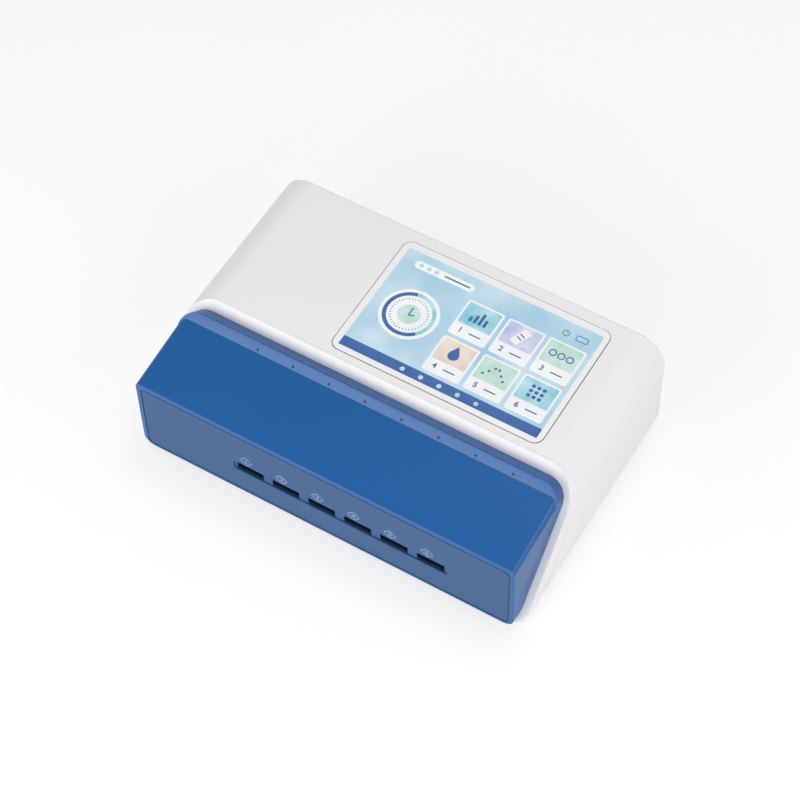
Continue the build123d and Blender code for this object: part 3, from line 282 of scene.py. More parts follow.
def roundedBox(width, high, radius, centre=(0, 0), steps=6, turn=0.0):
    # Outline of a rounded rectangle; radius is one value or one for each corner from lower right.
    radii = radius if isinstance(radius, tuple) else (radius,) * 4
    points = []
    corners = ((1, -1), (1, 1), (-1, 1), (-1, -1))
    for k, (sx, sy) in enumerate(corners):
        r = radii[k]
        cx, cy = sx * (width / 2 - r), sy * (high / 2 - r)
        if not r:
            points.append((cx, cy))
            continue
        for j in range(steps + 1):
            a = math.radians(-90 + 90 * k + 90 * j / steps)
            points.append((cx + r * math.cos(a), cy + r * math.sin(a)))
    c, s = math.cos(turn), math.sin(turn)
    return [(centre[0] + x * c - y * s, centre[1] + x * s + y * c) for x, y in points]


def disc(radius, centre=(0, 0), steps=32, start=0.0, sweep=360.0):
    whole = sweep == 360.0
    count = steps if whole else steps + 1
    angles = [math.radians(start + sweep * k / steps) for k in range(count)]
    return [(centre[0] + radius * math.cos(a), centre[1] + radius * math.sin(a)) for a in angles]


def prism(mesh, outline, low, high, place):
    # Closed upright prism over an outline that runs anticlockwise.
    foot = [mesh.verts.new(place(u, v, low)) for u, v in outline]
    head = [mesh.verts.new(place(u, v, high)) for u, v in outline]
    mesh.faces.new(list(reversed(foot)))
    mesh.faces.new(head)
    for k in range(len(outline)):
        n = (k + 1) % len(outline)
        mesh.faces.new((foot[k], foot[n], head[n], head[k]))


def ring(mesh, outer, inner, low, high, place):
    # Closed prism between two outlines with as many points each.
    rows = [[mesh.verts.new(place(u, v, w)) for u, v in line]
            for line, w in ((outer, low), (outer, high), (inner, high), (inner, low))]
    for a, b in zip(rows, rows[1:] + rows[:1]):
        for k in range(len(outer)):
            n = (k + 1) % len(outer)
            mesh.faces.new((a[k], a[n], b[n], b[k]))


def finishMesh(name, mesh, mat, body="case"):
    bmesh.ops.recalc_face_normals(mesh, faces=mesh.faces)
    data = bpy.data.meshes.new(name)
    mesh.to_mesh(data)
    mesh.free()
    piece = bpy.data.objects.new(name, data)
    scene.collection.objects.link(piece)
    data.materials.append(mat)
    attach(piece, body)
    return piece


def applied(piece):
    # The piece with its modifiers made into a plain mesh.
    graph = bpy.context.evaluated_depsgraph_get()
    data = bpy.data.meshes.new_from_object(piece.evaluated_get(graph))
    piece.modifiers.clear()
    piece.data = data
    return piece


weld = dict(flat=1e-5, form=2e-5)
rims = dict(sharp=1.0, steps=3)
letters = dict(bolder=0.025, steps=4)


def curveMesh(curve):
    # The closed mesh that a filled curve makes; the curve goes.
    shape = bpy.data.objects.new(curve.name, curve)
    scene.collection.objects.link(shape)
    graph = bpy.context.evaluated_depsgraph_get()
    data = bpy.data.meshes.new_from_object(shape.evaluated_get(graph))
    bpy.data.objects.remove(shape)
    mesh = bmesh.new()
    mesh.from_mesh(data)
    bmesh.ops.remove_doubles(mesh, verts=mesh.verts, dist=weld["flat"])
    return mesh

def plateWithHoles(name, outline, holes, low, high, place, bevel=0.0):
    # Filled outline with holes, as a flat curve given a thickness, then put in its place.
    flat = bpy.data.curves.new(name, "CURVE")
    flat.dimensions = "2D"
    flat.fill_mode = "BOTH"
    flat.extrude = (high - low) / 2
    for line in [outline] + holes:
        spline = flat.splines.new("POLY")
        spline.points.add(len(line) - 1)
        for point, (u, v) in zip(spline.points, line):
            point.co = (u, v, 0, 1)
        spline.use_cyclic_u = True
    mesh = curveMesh(flat)
    if bevel:
        rim = [e for e in mesh.edges if len(e.link_faces) == 2 and e.calc_face_angle() > rims["sharp"]
               and min(v.co.z for v in e.verts) > 0]
        bmesh.ops.bevel(mesh, geom=rim, offset=bevel, segments=rims["steps"], profile=0.5, affect="EDGES")
    for vert in mesh.verts:
        vert.co = place(vert.co.x, vert.co.y, vert.co.z + (high + low) / 2)
    return mesh


def numeral(text, size, centre, low, high, place):
    letter = bpy.data.curves.new("numeral", "FONT")
    letter.body = text
    letter.size = size
    letter.align_x, letter.align_y = "CENTER", "CENTER"
    letter.extrude = abs(high - low) / 2
    letter.offset = letters["bolder"] * size
    letter.resolution_u = letters["steps"]
    mesh = curveMesh(letter)
    for vert in mesh.verts:
        vert.co = place(vert.co.x + centre[0], vert.co.y + centre[1], vert.co.z + (low + high) / 2)
    return mesh


def joined(meshes):
    whole = bmesh.new()
    for mesh in meshes:
        data = bpy.data.meshes.new("part")
        mesh.to_mesh(data)
        mesh.free()
        whole.from_mesh(data)
    return whole


# Slot panel, with the six slots in their strip, and the tray's lane ends behind them; sizes in mm

panel = dict(low=1.7, high=71.8, side=3.1, top=4.7, foot=1.6, gap=1.1, gapTop=1.7, edge=0.4, corner=3.2,
             footCorner=4.6, thick=2.5, grooveDeep=0.5, grooveLap=0.2, clear=0.02, setIn=0.05, join=0.01,
             back=1.6, inside=2.8, topLip=1.5, backCorner=2.4, backFootCorner=5.2,
             stripDeep=0.9, stripRise=0.5, stripDrop=0.2, stripEnd=2.4, stripCorner=2.2,
             lanes=6, pitch=27.9, middle=12.5, slotWide=20.8, slotTop=34.6, slotCorner=1.2, slotFoot=0.3,
             slotEdge=0.15, laneFloor=29.1, lipDrop=3.1, lipRise=0.45, lipDeep=0.1, lipOver=0.05,
             windowRoom=4.6, windowCorner=1.0, footHigh=3.0)
laneX = [panel["middle"] + (k - (panel["lanes"] - 1) / 2) * panel["pitch"] for k in range(panel["lanes"])]
laneEnds = dict(room=4.4, corner=0.8, holeCorner=0.3, back=4.45, front=2.6, sillFront=1.3, sillBack=2.7,
                sillGap=0.06)


def onFront(u, v, w):
    # u to the right, v up from the case's underside, w back from the panel's face, in mm.
    return Vector((u * mm, panelLow.y + (w + panel["setIn"]) * mm, (v + panel["footHigh"]) * mm))


def panelOutline(v, side, top, foot, corner, footCorner):
    wide = (coverHigh.x - coverLow.x) / mm - 2 * side
    low, high = v["low"] + foot, v["high"] - top
    return roundedBox(wide, high - low, (footCorner, corner, corner, footCorner), (0, (low + high) / 2))


def ontoFront(u, v, out):
    return onFront(u, v, -out)


def laneBox(v, room, corner):
    # Outline round all six lanes, with room on every side.
    wide = laneX[-1] - laneX[0] + v["slotWide"] + 2 * room
    return roundedBox(wide, v["slotTop"] - v["laneFloor"] + 2 * room, corner,
                      (v["middle"], (v["slotTop"] + v["laneFloor"]) / 2))


def makePanel(v):
    lipFoot = v["laneFloor"] - v["lipDrop"]
    stripLow, stripTop = lipFoot - v["stripDrop"], v["slotTop"] + v["stripRise"]
    stripLeft = laneX[0] - v["slotWide"] / 2 - v["stripEnd"]
    stripRight = laneX[-1] + v["slotWide"] / 2 + v["stripEnd"]
    strip = roundedBox(stripRight - stripLeft, stripTop - stripLow, v["stripCorner"],
                       ((stripLeft + stripRight) / 2, (stripLow + stripTop) / 2))
    corners = (v["slotFoot"], v["slotCorner"], v["slotCorner"], v["slotFoot"])
    slots = [roundedBox(v["slotWide"], v["slotTop"] - lipFoot, corners, (x, (v["slotTop"] + lipFoot) / 2))
             for x in laneX]

    def within(more, moreTop):
        # The panel's outline, so far inside the opening in the cover.
        return panelOutline(v, v["side"] + more, v["top"] + moreTop, v["foot"] + more, v["corner"],
                            v["footCorner"])

    lap = v["grooveLap"]
    under = within(v["clear"], v["clear"])
    face = plateWithHoles("panelFace", within(v["gap"], v["gapTop"]), [strip], -v["stripDeep"], 0, ontoFront,
                          v["edge"])
    plate = plateWithHoles("panelPlate", under, slots, -v["thick"], v["join"] - v["stripDeep"], ontoFront,
                           v["slotEdge"])
    groove = plateWithHoles("panelGroove", under, [within(v["gap"] + lap, v["gapTop"] + lap)],
                            -v["stripDeep"], -v["grooveDeep"], ontoFront)
    rear = panelOutline(v, v["inside"], v["top"] - v["topLip"], v["inside"], v["backCorner"],
                        v["backFootCorner"])
    back = plateWithHoles("panelBack", rear, [laneBox(v, v["windowRoom"], v["windowCorner"])],
                          -v["thick"] - v["back"], v["join"] - v["thick"], ontoFront)
    lips = bmesh.new()
    half = v["slotWide"] / 2 + v["lipOver"]
    side = [(v["stripDeep"], lipFoot - v["lipDeep"]), (v["thick"], lipFoot - v["lipDeep"]),
            (v["thick"], lipFoot + v["lipRise"]), (v["stripDeep"], lipFoot)]
    for x in laneX:
        prism(lips, side, -half, half, lambda a, b, c: onFront(c + x, b, a))
    piece = finishMesh("slot_panel_front", joined([face, plate, groove, back, lips]), made["panelBlue"])
    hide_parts("slot_panel")


def makeLaneEnds(v, around):
    # Front ends of the tray's lanes, close behind the slots, each with a sill that fills its slot's foot;
    # their near-black navy is painted shade of the slots' deep inside.
    floor, top = around["laneFloor"], around["slotTop"]
    lanes = [roundedBox(around["slotWide"], top - floor, v["holeCorner"], (x, (top + floor) / 2))
             for x in laneX]
    mouths = plateWithHoles("laneMouths", laneBox(around, v["room"], v["corner"]), lanes, -v["back"],
                            -v["front"], ontoFront)
    half, low = around["slotWide"] / 2 - v["sillGap"], floor - around["lipDrop"] + v["sillGap"]
    sills = bmesh.new()
    for x in laneX:
        prism(sills, [(x - half, low), (x + half, low), (x + half, floor), (x - half, floor)], v["sillFront"],
              v["sillBack"], onFront)
    piece = finishMesh("tray_lane_mouths", joined([mouths, sills]), made["mouthShadeNavy"])


marks = dict(right=-2.2, rise=6.5, side=7.5, corner=1.7, stroke=0.85, digit=6.4, ink=0.04)


def makeMarks(v):
    # Plain numbers in rounded diamonds, printed above the slots.
    diamonds, digits = bmesh.new(), []
    turn = math.radians(45)
    for k, x in enumerate(laneX):
        centre = (x + v["right"], panel["slotTop"] + v["rise"])
        hole = v["side"] - 2 * v["stroke"]
        ring(diamonds, roundedBox(v["side"], v["side"], v["corner"], centre, turn=turn),
             roundedBox(hole, hole, v["corner"] - v["stroke"], centre, turn=turn), -v["ink"], 0, onFront)
        digits.append(numeral(str(k + 1), v["digit"], centre, -v["ink"], 0, onFront))
    piece = finishMesh("slot_number_print", joined([diamonds] + digits), made["printPale"])


# Reader cover: a flange along the sloping front and a block with rounded long edges; sizes in mm

cover = dict(slope=49.5, caseHigh=84.5, originY=95.7685, width=290.0, frontY=-4.8, low=1.7, high=71.8,
             rimTop=86.42, wall=2.5, drop=8.5, proud=13.5, band=8.0, flangeCorner=15.0, flangeSteps=12,
             flangeLow=-145.0, frontCorner=4.0, rearCorner=6.0, footCorner=8.0, steps=8, blockAhead=10,
             blockBehind=8, blockUnder=20, cutLine=[(-200, -220), (200, -220), (200, 80), (-200, 80)],
             cutDeep=2, cutOut=160, sideOver=0.02, rearY=190, edge=0.8, edgeAngle=0.7, edgeAbove=2,
             edgeSteps=3, hollowBehind=1, openCorner=0.6, openFoot=1.0, openAhead=3, openOver=0.4,
             lampCount=8, lampPitch=27.85, lampMiddle=13.3, lampDrop=5.5, lampRadius=0.95, lampSteps=16,
             lampOver=1, pinAt=(0, 3, 6), pinRadius=1.8, pinSteps=20, pinLong=4, pinInto=0.2,
             postRadius=3.2, postSteps=24, postDown=(38, 66), postInset=3, postFoot=0.02, postTop=10.5,
             smooth=32)
slope = math.radians(cover["slope"])
creaseY = cover["caseHigh"] / math.tan(slope)


def onCase(x, y, z):
    # x to the right, y back from the case's front foot, z up from the case's underside, in mm.
    return Vector((x * mm, (y - cover["originY"]) * mm, (z + panel["footHigh"]) * mm))


def onSlope(x, up, out):
    # From the crease: right, up the sloping front, and out of it.
    return onCase(x, creaseY + up * math.cos(slope) - out * math.sin(slope),
                  cover["caseHigh"] + up * math.sin(slope) + out * math.cos(slope))


def loftObject(rings):
    # Closed skin through outlines with as many points each.
    mesh = bmesh.new()
    rows = [[mesh.verts.new(point) for point in ring] for ring in rings]
    mesh.faces.new(rows[0])
    mesh.faces.new(rows[-1])
    for a, b in zip(rows, rows[1:]):
        for k in range(len(a)):
            n = (k + 1) % len(a)
            mesh.faces.new((a[k], a[n], b[n], b[k]))
    return meshObject(mesh)


def meshObject(mesh):
    bmesh.ops.recalc_face_normals(mesh, faces=mesh.faces)
    data = bpy.data.meshes.new("form")
    mesh.to_mesh(data)
    mesh.free()
    form = bpy.data.objects.new("form", data)
    scene.collection.objects.link(form)
    return form


def combine(base, tool, operation):
    change = base.modifiers.new("combine", "BOOLEAN")
    change.operation = operation
    change.object = tool
    change.solver = "EXACT"
    applied(base)
    bpy.data.objects.remove(tool)
    return base


def coverForm(v, inset, behind):
    # The cover's outer form, or with an inset the hollow inside it.
    width, face = v["width"] - 2 * inset, v["proud"] - inset
    top, bottom = -(v["drop"] + inset), v["flangeLow"]
    corner = v["flangeCorner"] - inset
    line = roundedBox(width, top - bottom, (0, corner, corner, 0), (0, (top + bottom) / 2),
                      steps=v["flangeSteps"])
    flange = loftObject([[onSlope(a, b, -behind) for a, b in line], [onSlope(a, b, face) for a, b in line]])
    backY = creaseY - (v["drop"] + v["band"]) * math.cos(slope) - v["proud"] * math.sin(slope)
    backZ = v["caseHigh"] - (v["drop"] + v["band"]) * math.sin(slope) + v["proud"] * math.cos(slope)
    rise = (backZ - v["high"]) / (backY - v["frontY"])
    under = v["blockUnder"]
    rings = []
    for y in (v["frontY"] - v["blockAhead"], backY + v["blockBehind"]):
        share = (y - v["frontY"]) / (backY - v["frontY"])
        radius = v["frontCorner"] + share * (v["rearCorner"] - v["frontCorner"]) - inset
        high = v["high"] + rise * (y - v["frontY"]) - inset * math.hypot(1, rise)
        ends = roundedBox(width, high + under, (0, radius, radius, 0), (0, (high - under) / 2),
                          steps=v["steps"])
        rings.append([onCase(a, y, b) for a, b in ends])
    block = loftObject(rings)
    ahead = loftObject([[onSlope(a, b, out) for a, b in v["cutLine"]]
                        for out in (face - v["cutDeep"], v["cutOut"])])
    form = combine(flange, combine(block, ahead, "INTERSECT"), "UNION")
    low, foot = v["low"] + inset, v["footCorner"] - inset
    around = roundedBox(width + v["sideOver"], v["rimTop"] - low, (foot, 0, 0, foot),
                        (0, (v["rimTop"] + low) / 2), steps=v["steps"])
    envelope = loftObject([[onCase(a, y, b) for a, b in around] for y in (v["frontY"] + inset, v["rearY"])])
    return combine(form, envelope, "INTERSECT")


def softenEdges(form, v):
    # Rounds the cover's sharp edges, apart from the one that lies on the case.
    mesh = bmesh.new()
    mesh.from_mesh(form.data)
    bmesh.ops.remove_doubles(mesh, verts=mesh.verts, dist=weld["form"])
    origin, out = onSlope(0, 0, 0), (onSlope(0, 0, 1) - onSlope(0, 0, 0)).normalized()
    rim = [e for e in mesh.edges if len(e.link_faces) == 2 and e.calc_face_angle() > v["edgeAngle"]
           and max((p.co - origin).dot(out) for p in e.verts) > v["edgeAbove"] * mm]
    bmesh.ops.bevel(mesh, geom=rim, offset=v["edge"] * mm, segments=v["edgeSteps"], profile=0.5,
                    affect="EDGES", clamp_overlap=True)
    mesh.to_mesh(form.data)
    mesh.free()


def makeCover(v, p):
    form = coverForm(v, 0, 0)
    softenEdges(form, v)
    form = combine(form, coverForm(v, v["wall"], v["hollowBehind"]), "DIFFERENCE")
    # opening for the slot panel
    opening = panelOutline(p, p["side"], p["top"], p["foot"], p["corner"] + v["openCorner"],
                           p["footCorner"] + v["openFoot"])
    hole = loftObject([[onCase(a, y, b) for a, b in opening]
                       for y in (v["frontY"] - v["openAhead"], v["frontY"] + v["wall"] + v["openOver"])])
    form = combine(form, hole, "DIFFERENCE")
    # holes for the light pipes in the band, pins between them, and screw posts down each side
    up, inside = -(v["drop"] + v["lampDrop"]), v["proud"] - v["wall"]
    lampX = [v["lampMiddle"] + (k - (v["lampCount"] - 1) / 2) * v["lampPitch"] for k in range(v["lampCount"])]
    holes = bmesh.new()
    for x in lampX:
        prism(holes, disc(v["lampRadius"], (x, up), v["lampSteps"]), inside - v["lampOver"],
              v["proud"] + v["lampOver"], onSlope)
    form = combine(form, meshObject(holes), "DIFFERENCE")
    posts = bmesh.new()
    for k in v["pinAt"]:
        prism(posts, disc(v["pinRadius"], ((lampX[k] + lampX[k + 1]) / 2, up), v["pinSteps"]),
              inside - v["pinLong"], inside + v["pinInto"], onSlope)
    postX = v["width"] / 2 - v["wall"] - v["postInset"]
    for side in (-1, 1):
        for down in v["postDown"]:
            prism(posts, disc(v["postRadius"], (side * postX, -down), v["postSteps"]), v["postFoot"],
                  v["postTop"], onSlope)
    whole = bmesh.new()
    whole.from_mesh(form.data)
    bpy.data.objects.remove(form)
    piece = finishMesh("reader_cover_shell", joined([whole, posts]), made["coverBlue"])
    smoothBy(piece, v["smooth"])
    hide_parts("reader_cover")


def smoothBy(piece, angle):
    piece.data.polygons.foreach_set("use_smooth", [True] * len(piece.data.polygons))
    piece.data.set_sharp_from_angle(angle=math.radians(angle))


# Painted shadow of the joint between the front moulding and the housing

seam = dict(setback=19.6, low=5.5, bend=46.0, wide=0.5, narrow=0.2, proud=0.01, sunk=0.2)


def makeSeam(v):
    # The joint's shadow line on each side, which narrows upwards.
    half = (housingHigh.x - housingLow.x) / 2 / mm

    def beside(z, off):
        return z / math.tan(slope) + v["setback"] / math.sin(slope) + off, z

    line = [beside(v["low"], -v["wide"] / 2), beside(v["low"], v["wide"] / 2),
            beside(v["bend"], v["narrow"] / 2), beside(v["bend"], -v["narrow"] / 2)]
    mesh = bmesh.new()
    for side in (-1, 1):
        prism(mesh, line, half - v["sunk"], half + v["proud"], lambda a, b, c: onCase(side * c, a, b))
    piece = finishMesh("case_seam_shadow", mesh, made["seamShadowGrey"])


makeSeam(seam)
makeCover(cover, panel)
print("reader cover made")
makePanel(panel)
makeLaneEnds(laneEnds, panel)
makeMarks(marks)
print("slot panel made")


# Display: the lit panel under the glass, with a plain layout of cards, a dial and icons; sizes in mm

display = dict(wide=151.0, high=94.0, corner=0.4, bodyCorner=2.0, ledge=0.30, layer=0.06, rimUnder=0.02,
               inkUnder=0.01)
moduleLow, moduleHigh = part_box("display_module")
screenMiddle = (moduleLow + moduleHigh) / 2
backLight = dict(glow=0.92, cloud=22, cloudDetail=2, cloudLow=0.35, cloudHigh=0.65, rough=0.5,
                 skin=(0.02, 0.02, 0.02, 1))


def onScreen(u, v, w):
    # u and v from the lit area's lower left corner, w up from the background, in mm.
    x = screenMiddle.x + (u - display["wide"] / 2) * mm
    y = screenMiddle.y + (v - display["high"] / 2) * mm
    return Vector((x, y, moduleHigh.z + (w - display["ledge"]) * mm))


def lit(name, look):
    # A lit area of the display, with the slow unevenness of its back light; the printed rim made with it
    # glows as painted light.
    v = {**backLight, **look}
    mat, tree = newMaterial(name)
    skin, where = newSkin(tree, **{"Roughness": v["rough"], "Emission Strength": v["glow"],
                                   "Base Color": v["skin"]})
    cloud = noise(tree, where, v["cloud"], v["cloudDetail"])
    share = rangeOf(tree, cloud, {"From Min": v["cloudLow"], "From Max": v["cloudHigh"]})
    tree.links.new(blend(tree, share, v), skin.inputs["Emission Color"])
    return mat


inks = dict(
    sky=dict(colour=(0.36, 0.62, 0.80), colourTwo=(0.62, 0.80, 0.90), cloud=26),
    deep=dict(colour=(0.002, 0.095, 0.37), colourTwo=(0.003, 0.105, 0.39)),
    card=dict(colour=(0.90, 0.93, 0.95), colourTwo=(0.96, 0.98, 1.0)),
    mint=dict(colour=(0.45, 0.72, 0.62), colourTwo=(0.66, 0.84, 0.78), cloud=70),
    lilac=dict(colour=(0.48, 0.50, 0.80), colourTwo=(0.70, 0.74, 0.90), cloud=70),
    aqua=dict(colour=(0.20, 0.58, 0.72), colourTwo=(0.50, 0.78, 0.86), cloud=70),
    sand=dict(colour=(0.80, 0.62, 0.50), colourTwo=(0.88, 0.78, 0.70), cloud=70),
    line=dict(colour=(0.010, 0.10, 0.27), colourTwo=(0.014, 0.12, 0.30)),
    # Printed white rim, made to glow: painted light in place of lamp light on the print
    rim=dict(colour=(0.80, 0.81, 0.84), colourTwo=(0.83, 0.84, 0.87), glow=0.98),
)
made.update({name: lit(name, look) for name, look in inks.items()})


def dialTicks(v, mat):
    # Geometry Nodes: small bars set round a circle.
    tree = bpy.data.node_groups.new("dialTicks", "GeometryNodeTree")
    face = tree.interface
    face.new_socket("Geometry", in_out="OUTPUT", socket_type="NodeSocketGeometry")
    sockets = {}
    for label in ("Count", "Radius", "Length", "Width", "Thickness"):
        kind = "NodeSocketInt" if label == "Count" else "NodeSocketFloat"
        sockets[label] = face.new_socket(label, in_out="INPUT", socket_type=kind).identifier
    link = tree.links.new
    given = tree.nodes.new("NodeGroupInput")
    circle = tree.nodes.new("GeometryNodeMeshCircle")
    link(given.outputs["Count"], circle.inputs["Vertices"])
    link(given.outputs["Radius"], circle.inputs["Radius"])
    size = tree.nodes.new("ShaderNodeCombineXYZ")
    link(given.outputs["Length"], size.inputs[0])
    link(given.outputs["Width"], size.inputs[1])
    link(given.outputs["Thickness"], size.inputs[2])
    bar = tree.nodes.new("GeometryNodeMeshCube")
    link(size.outputs[0], bar.inputs["Size"])
    where = tree.nodes.new("GeometryNodeInputPosition")
    aim = addNode(tree, "FunctionNodeAlignEulerToVector", axis="X", pivot_axis="Z")
    link(where.outputs[0], aim.inputs["Vector"])
    spread = tree.nodes.new("GeometryNodeInstanceOnPoints")
    link(circle.outputs[0], spread.inputs["Points"])
    link(bar.outputs["Mesh"], spread.inputs["Instance"])
    link(aim.outputs[0], spread.inputs["Rotation"])
    real = tree.nodes.new("GeometryNodeRealizeInstances")
    link(spread.outputs[0], real.inputs[0])
    paint = addNode(tree, "GeometryNodeSetMaterial", {"Material": mat})
    link(real.outputs[0], paint.inputs[0])
    out = tree.nodes.new("NodeGroupOutput")
    link(paint.outputs[0], out.inputs[0])
    holder = bpy.data.objects.new("display_dial_ticks", bpy.data.meshes.new("display_dial_ticks"))
    scene.collection.objects.link(holder)
    grown = holder.modifiers.new("ticks", "NODES")
    grown.node_group = tree
    for label in sockets:
        grown[sockets[label]] = v[label]
    piece = applied(holder)
    middle = onScreen(*v["centre"], v["high"])
    for vert in piece.data.vertices:
        vert.co = vert.co + middle
    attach(piece, "case")


keyBar = dict(high=8.6, keys=5, pitch=14.0, radius=1.7)
header = dict(up=84.5, pill=(46, 6.4, 3.2), pillAt=33, dots=("aqua", "mint", "lilac"), dotRadius=1.6,
              dotAt=15, dotPitch=6.0, line=(20, 1.2, 0.6), lineAt=43, gauge=(9, 4.6, 1.2),
              gaugeHole=(7.8, 3.4, 0.6), gaugeAt=139, level=(5.2, 2.2, 0.3), levelAt=138.0, clock=2.6,
              clockHole=2.0, clockAt=127, hand=(0.5, 1.8, 0.2), handUp=0.7)
dial = dict(at=(28.5, 45.0), plate=21.0, outer=18.4, inner=15.6, hub=8.0, steps=64, hubSteps=48,
            arcSteps=30, arcStart=100, arcSweep=215, longHand=(1.0, 7.0, 0.5), longAt=(0, 2.6),
            shortHand=(1.0, 4.6, 0.5), shortAt=(1.7, -0.4), shortTurn=-70,
            ticks=36, tickAt=12.9, tickLong=1.5, tickWide=0.45, tickUp=1.5)
cards = dict(fields=("aqua", "lilac", "mint", "sand", "mint", "aqua"), columns=3, first=(71.5, 61.0),
             pitch=(31.0, 34.0), card=(28, 31, 1.8), field=(25, 18.5, 1.0), fieldUp=4.8,
             line=(9, 1.0, 0.5), lineAt=(4, -10.0), digit=6.0, digitAt=(-7.0, -9.8))
icons = [
    dict(draw="bars", tall=(4, 7, 10, 6), wide=2.2, corner=0.4, left=-5.4, pitch=3.6, foot=-5.5),
    dict(draw="strip", strip=(6.4, 14, 1.2), line=(4.6, 0.9, 0.2), lineAt=(-1.2, 1.6), lean=0.42, turn=-25),
    dict(draw="rings", count=3, pitch=6.4, outer=2.8, inner=1.9),
    dict(draw="drop", tip=6.6, radius=4.0, low=1.6, steps=20, start=150, sweep=240),
    dict(draw="curve", count=6, left=-7.5, pitch=3.0, radius=0.95, steps=16, rise=4.0, each=1.1, phase=-1.2),
    dict(draw="grid", count=9, columns=3, dot=(2.6, 2.6, 0.5), pitch=4.0),
]
sheets = {name: bmesh.new() for name in inks}


def shape(ink, outline, level):
    prism(sheets[ink], outline, -display["inkUnder"], level * display["layer"], onScreen)


def band(ink, outer, inner, level):
    ring(sheets[ink], outer, inner, -display["inkUnder"], level * display["layer"], onScreen)


def drawKeyBar(v):
    # Bar along the foot, with round keys.
    wide, up = display["wide"], v["high"] / 2
    shape("deep", roundedBox(wide, v["high"], display["corner"], (wide / 2, up)), 1)
    for k in range(v["keys"]):
        shape("sky", disc(v["radius"], (wide / 2 + (k - (v["keys"] - 1) / 2) * v["pitch"], up)), 2)


def drawHeader(v):
    # A pill with dots, a level gauge and a clock.
    up = v["up"]
    shape("card", roundedBox(*v["pill"], (v["pillAt"], up)), 1)
    for k, ink in enumerate(v["dots"]):
        shape(ink, disc(v["dotRadius"], (v["dotAt"] + k * v["dotPitch"], up)), 2)
    shape("line", roundedBox(*v["line"], (v["lineAt"], up)), 2)
    at = (v["gaugeAt"], up)
    band("line", roundedBox(*v["gauge"], at), roundedBox(*v["gaugeHole"], at), 1)
    shape("aqua", roundedBox(*v["level"], (v["levelAt"], up)), 1)
    band("line", disc(v["clock"], (v["clockAt"], up)), disc(v["clockHole"], (v["clockAt"], up)), 1)
    shape("line", roundedBox(*v["hand"], (v["clockAt"], up + v["handUp"])), 1)


def drawDial(v):
    # Round dial at the left, part of its ring filled.
    at, steps = v["at"], v["steps"]
    shape("card", disc(v["plate"], at, steps), 1)
    band("aqua", disc(v["outer"], at, steps), disc(v["inner"], at, steps), 2)
    arc = [disc(v[side], at, v["arcSteps"], v["arcStart"], v["arcSweep"]) for side in ("outer", "inner")]
    shape("deep", arc[0] + list(reversed(arc[1])), 3)
    shape("mint", disc(v["hub"], at, v["hubSteps"]), 2)
    shape("line", roundedBox(*v["longHand"], (at[0] + v["longAt"][0], at[1] + v["longAt"][1])), 3)
    shape("line", roundedBox(*v["shortHand"], (at[0] + v["shortAt"][0], at[1] + v["shortAt"][1]),
                             turn=math.radians(v["shortTurn"])), 3)
    layer = display["layer"]
    dialTicks(dict(Count=v["ticks"], Radius=v["tickAt"] * mm, Length=v["tickLong"] * mm,
                   Width=v["tickWide"] * mm, Thickness=layer * mm, centre=at, high=v["tickUp"] * layer),
              made["line"])


def drawCards(v):
    # Rows of cards, each with a tinted field, an icon, a short line and a digit.
    digits = []
    for k, tint in enumerate(v["fields"]):
        cx = v["first"][0] + (k % v["columns"]) * v["pitch"][0]
        cy = v["first"][1] - (k // v["columns"]) * v["pitch"][1]
        shape("card", roundedBox(*v["card"], (cx, cy)), 1)
        shape(tint, roundedBox(*v["field"], (cx, cy + v["fieldUp"])), 2)
        drawIcon(icons[k], cx, cy + v["fieldUp"])
        shape("line", roundedBox(*v["line"], (cx + v["lineAt"][0], cy + v["lineAt"][1])), 2)
        digits.append(numeral(str(k + 1), v["digit"], (cx + v["digitAt"][0], cy + v["digitAt"][1]), 0,
                              2 * display["layer"], onScreen))
    sheets["line"] = joined([sheets["line"]] + digits)


def drawIcon(v, cx, cy):
    if v["draw"] == "bars":
        for k, tall in enumerate(v["tall"]):
            at = (cx + v["left"] + k * v["pitch"], cy + v["foot"] + tall / 2)
            shape("deep", roundedBox(v["wide"], tall, v["corner"], at), 3)
    elif v["draw"] == "strip":
        turn = math.radians(v["turn"])
        shape("card", roundedBox(*v["strip"], (cx, cy), turn=turn), 3)
        for up in v["lineAt"]:
            shape("deep", roundedBox(*v["line"], (cx + up * v["lean"], cy + up), turn=turn), 4)
    elif v["draw"] == "rings":
        for k in range(v["count"]):
            at = (cx + (k - (v["count"] - 1) / 2) * v["pitch"], cy)
            band("deep", disc(v["outer"], at), disc(v["inner"], at), 3)
    elif v["draw"] == "drop":
        bowl = disc(v["radius"], (cx, cy - v["low"]), v["steps"], v["start"], v["sweep"])
        shape("deep", [(cx, cy + v["tip"])] + bowl, 3)
    elif v["draw"] == "curve":
        for k in range(v["count"]):
            up = v["rise"] * math.sin(k * v["each"] + v["phase"])
            shape("deep", disc(v["radius"], (cx + v["left"] + k * v["pitch"], cy + up), v["steps"]), 3)
    else:
        for k in range(v["count"]):
            right, up = (k % v["columns"] - 1) * v["pitch"], (k // v["columns"] - 1) * v["pitch"]
            shape("deep", roundedBox(*v["dot"], (cx + right, cy + up)), 3)


def makeDisplay(v):
    # The module's body with its printed white rim, which glows as painted light, and everything drawn on it.
    wide, high = v["wide"], v["high"]
    middle = (wide / 2, high / 2)
    under = v["ledge"] - (moduleHigh.z - moduleLow.z) / mm
    whole = roundedBox((moduleHigh.x - moduleLow.x) / mm, (moduleHigh.y - moduleLow.y) / mm, v["bodyCorner"],
                       middle)
    picture = roundedBox(wide, high, v["corner"], middle)
    prism(sheets["sky"], picture, under, 0, onScreen)
    ring(sheets["rim"], whole, picture, under, v["ledge"] - v["rimUnder"], onScreen)
    drawKeyBar(keyBar)
    drawHeader(header)
    drawDial(dial)
    drawCards(cards)
    for name, mesh in sheets.items():
        piece = finishMesh("display_" + name, mesh, made[name])
        if name == "sky":
            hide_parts("display_module")


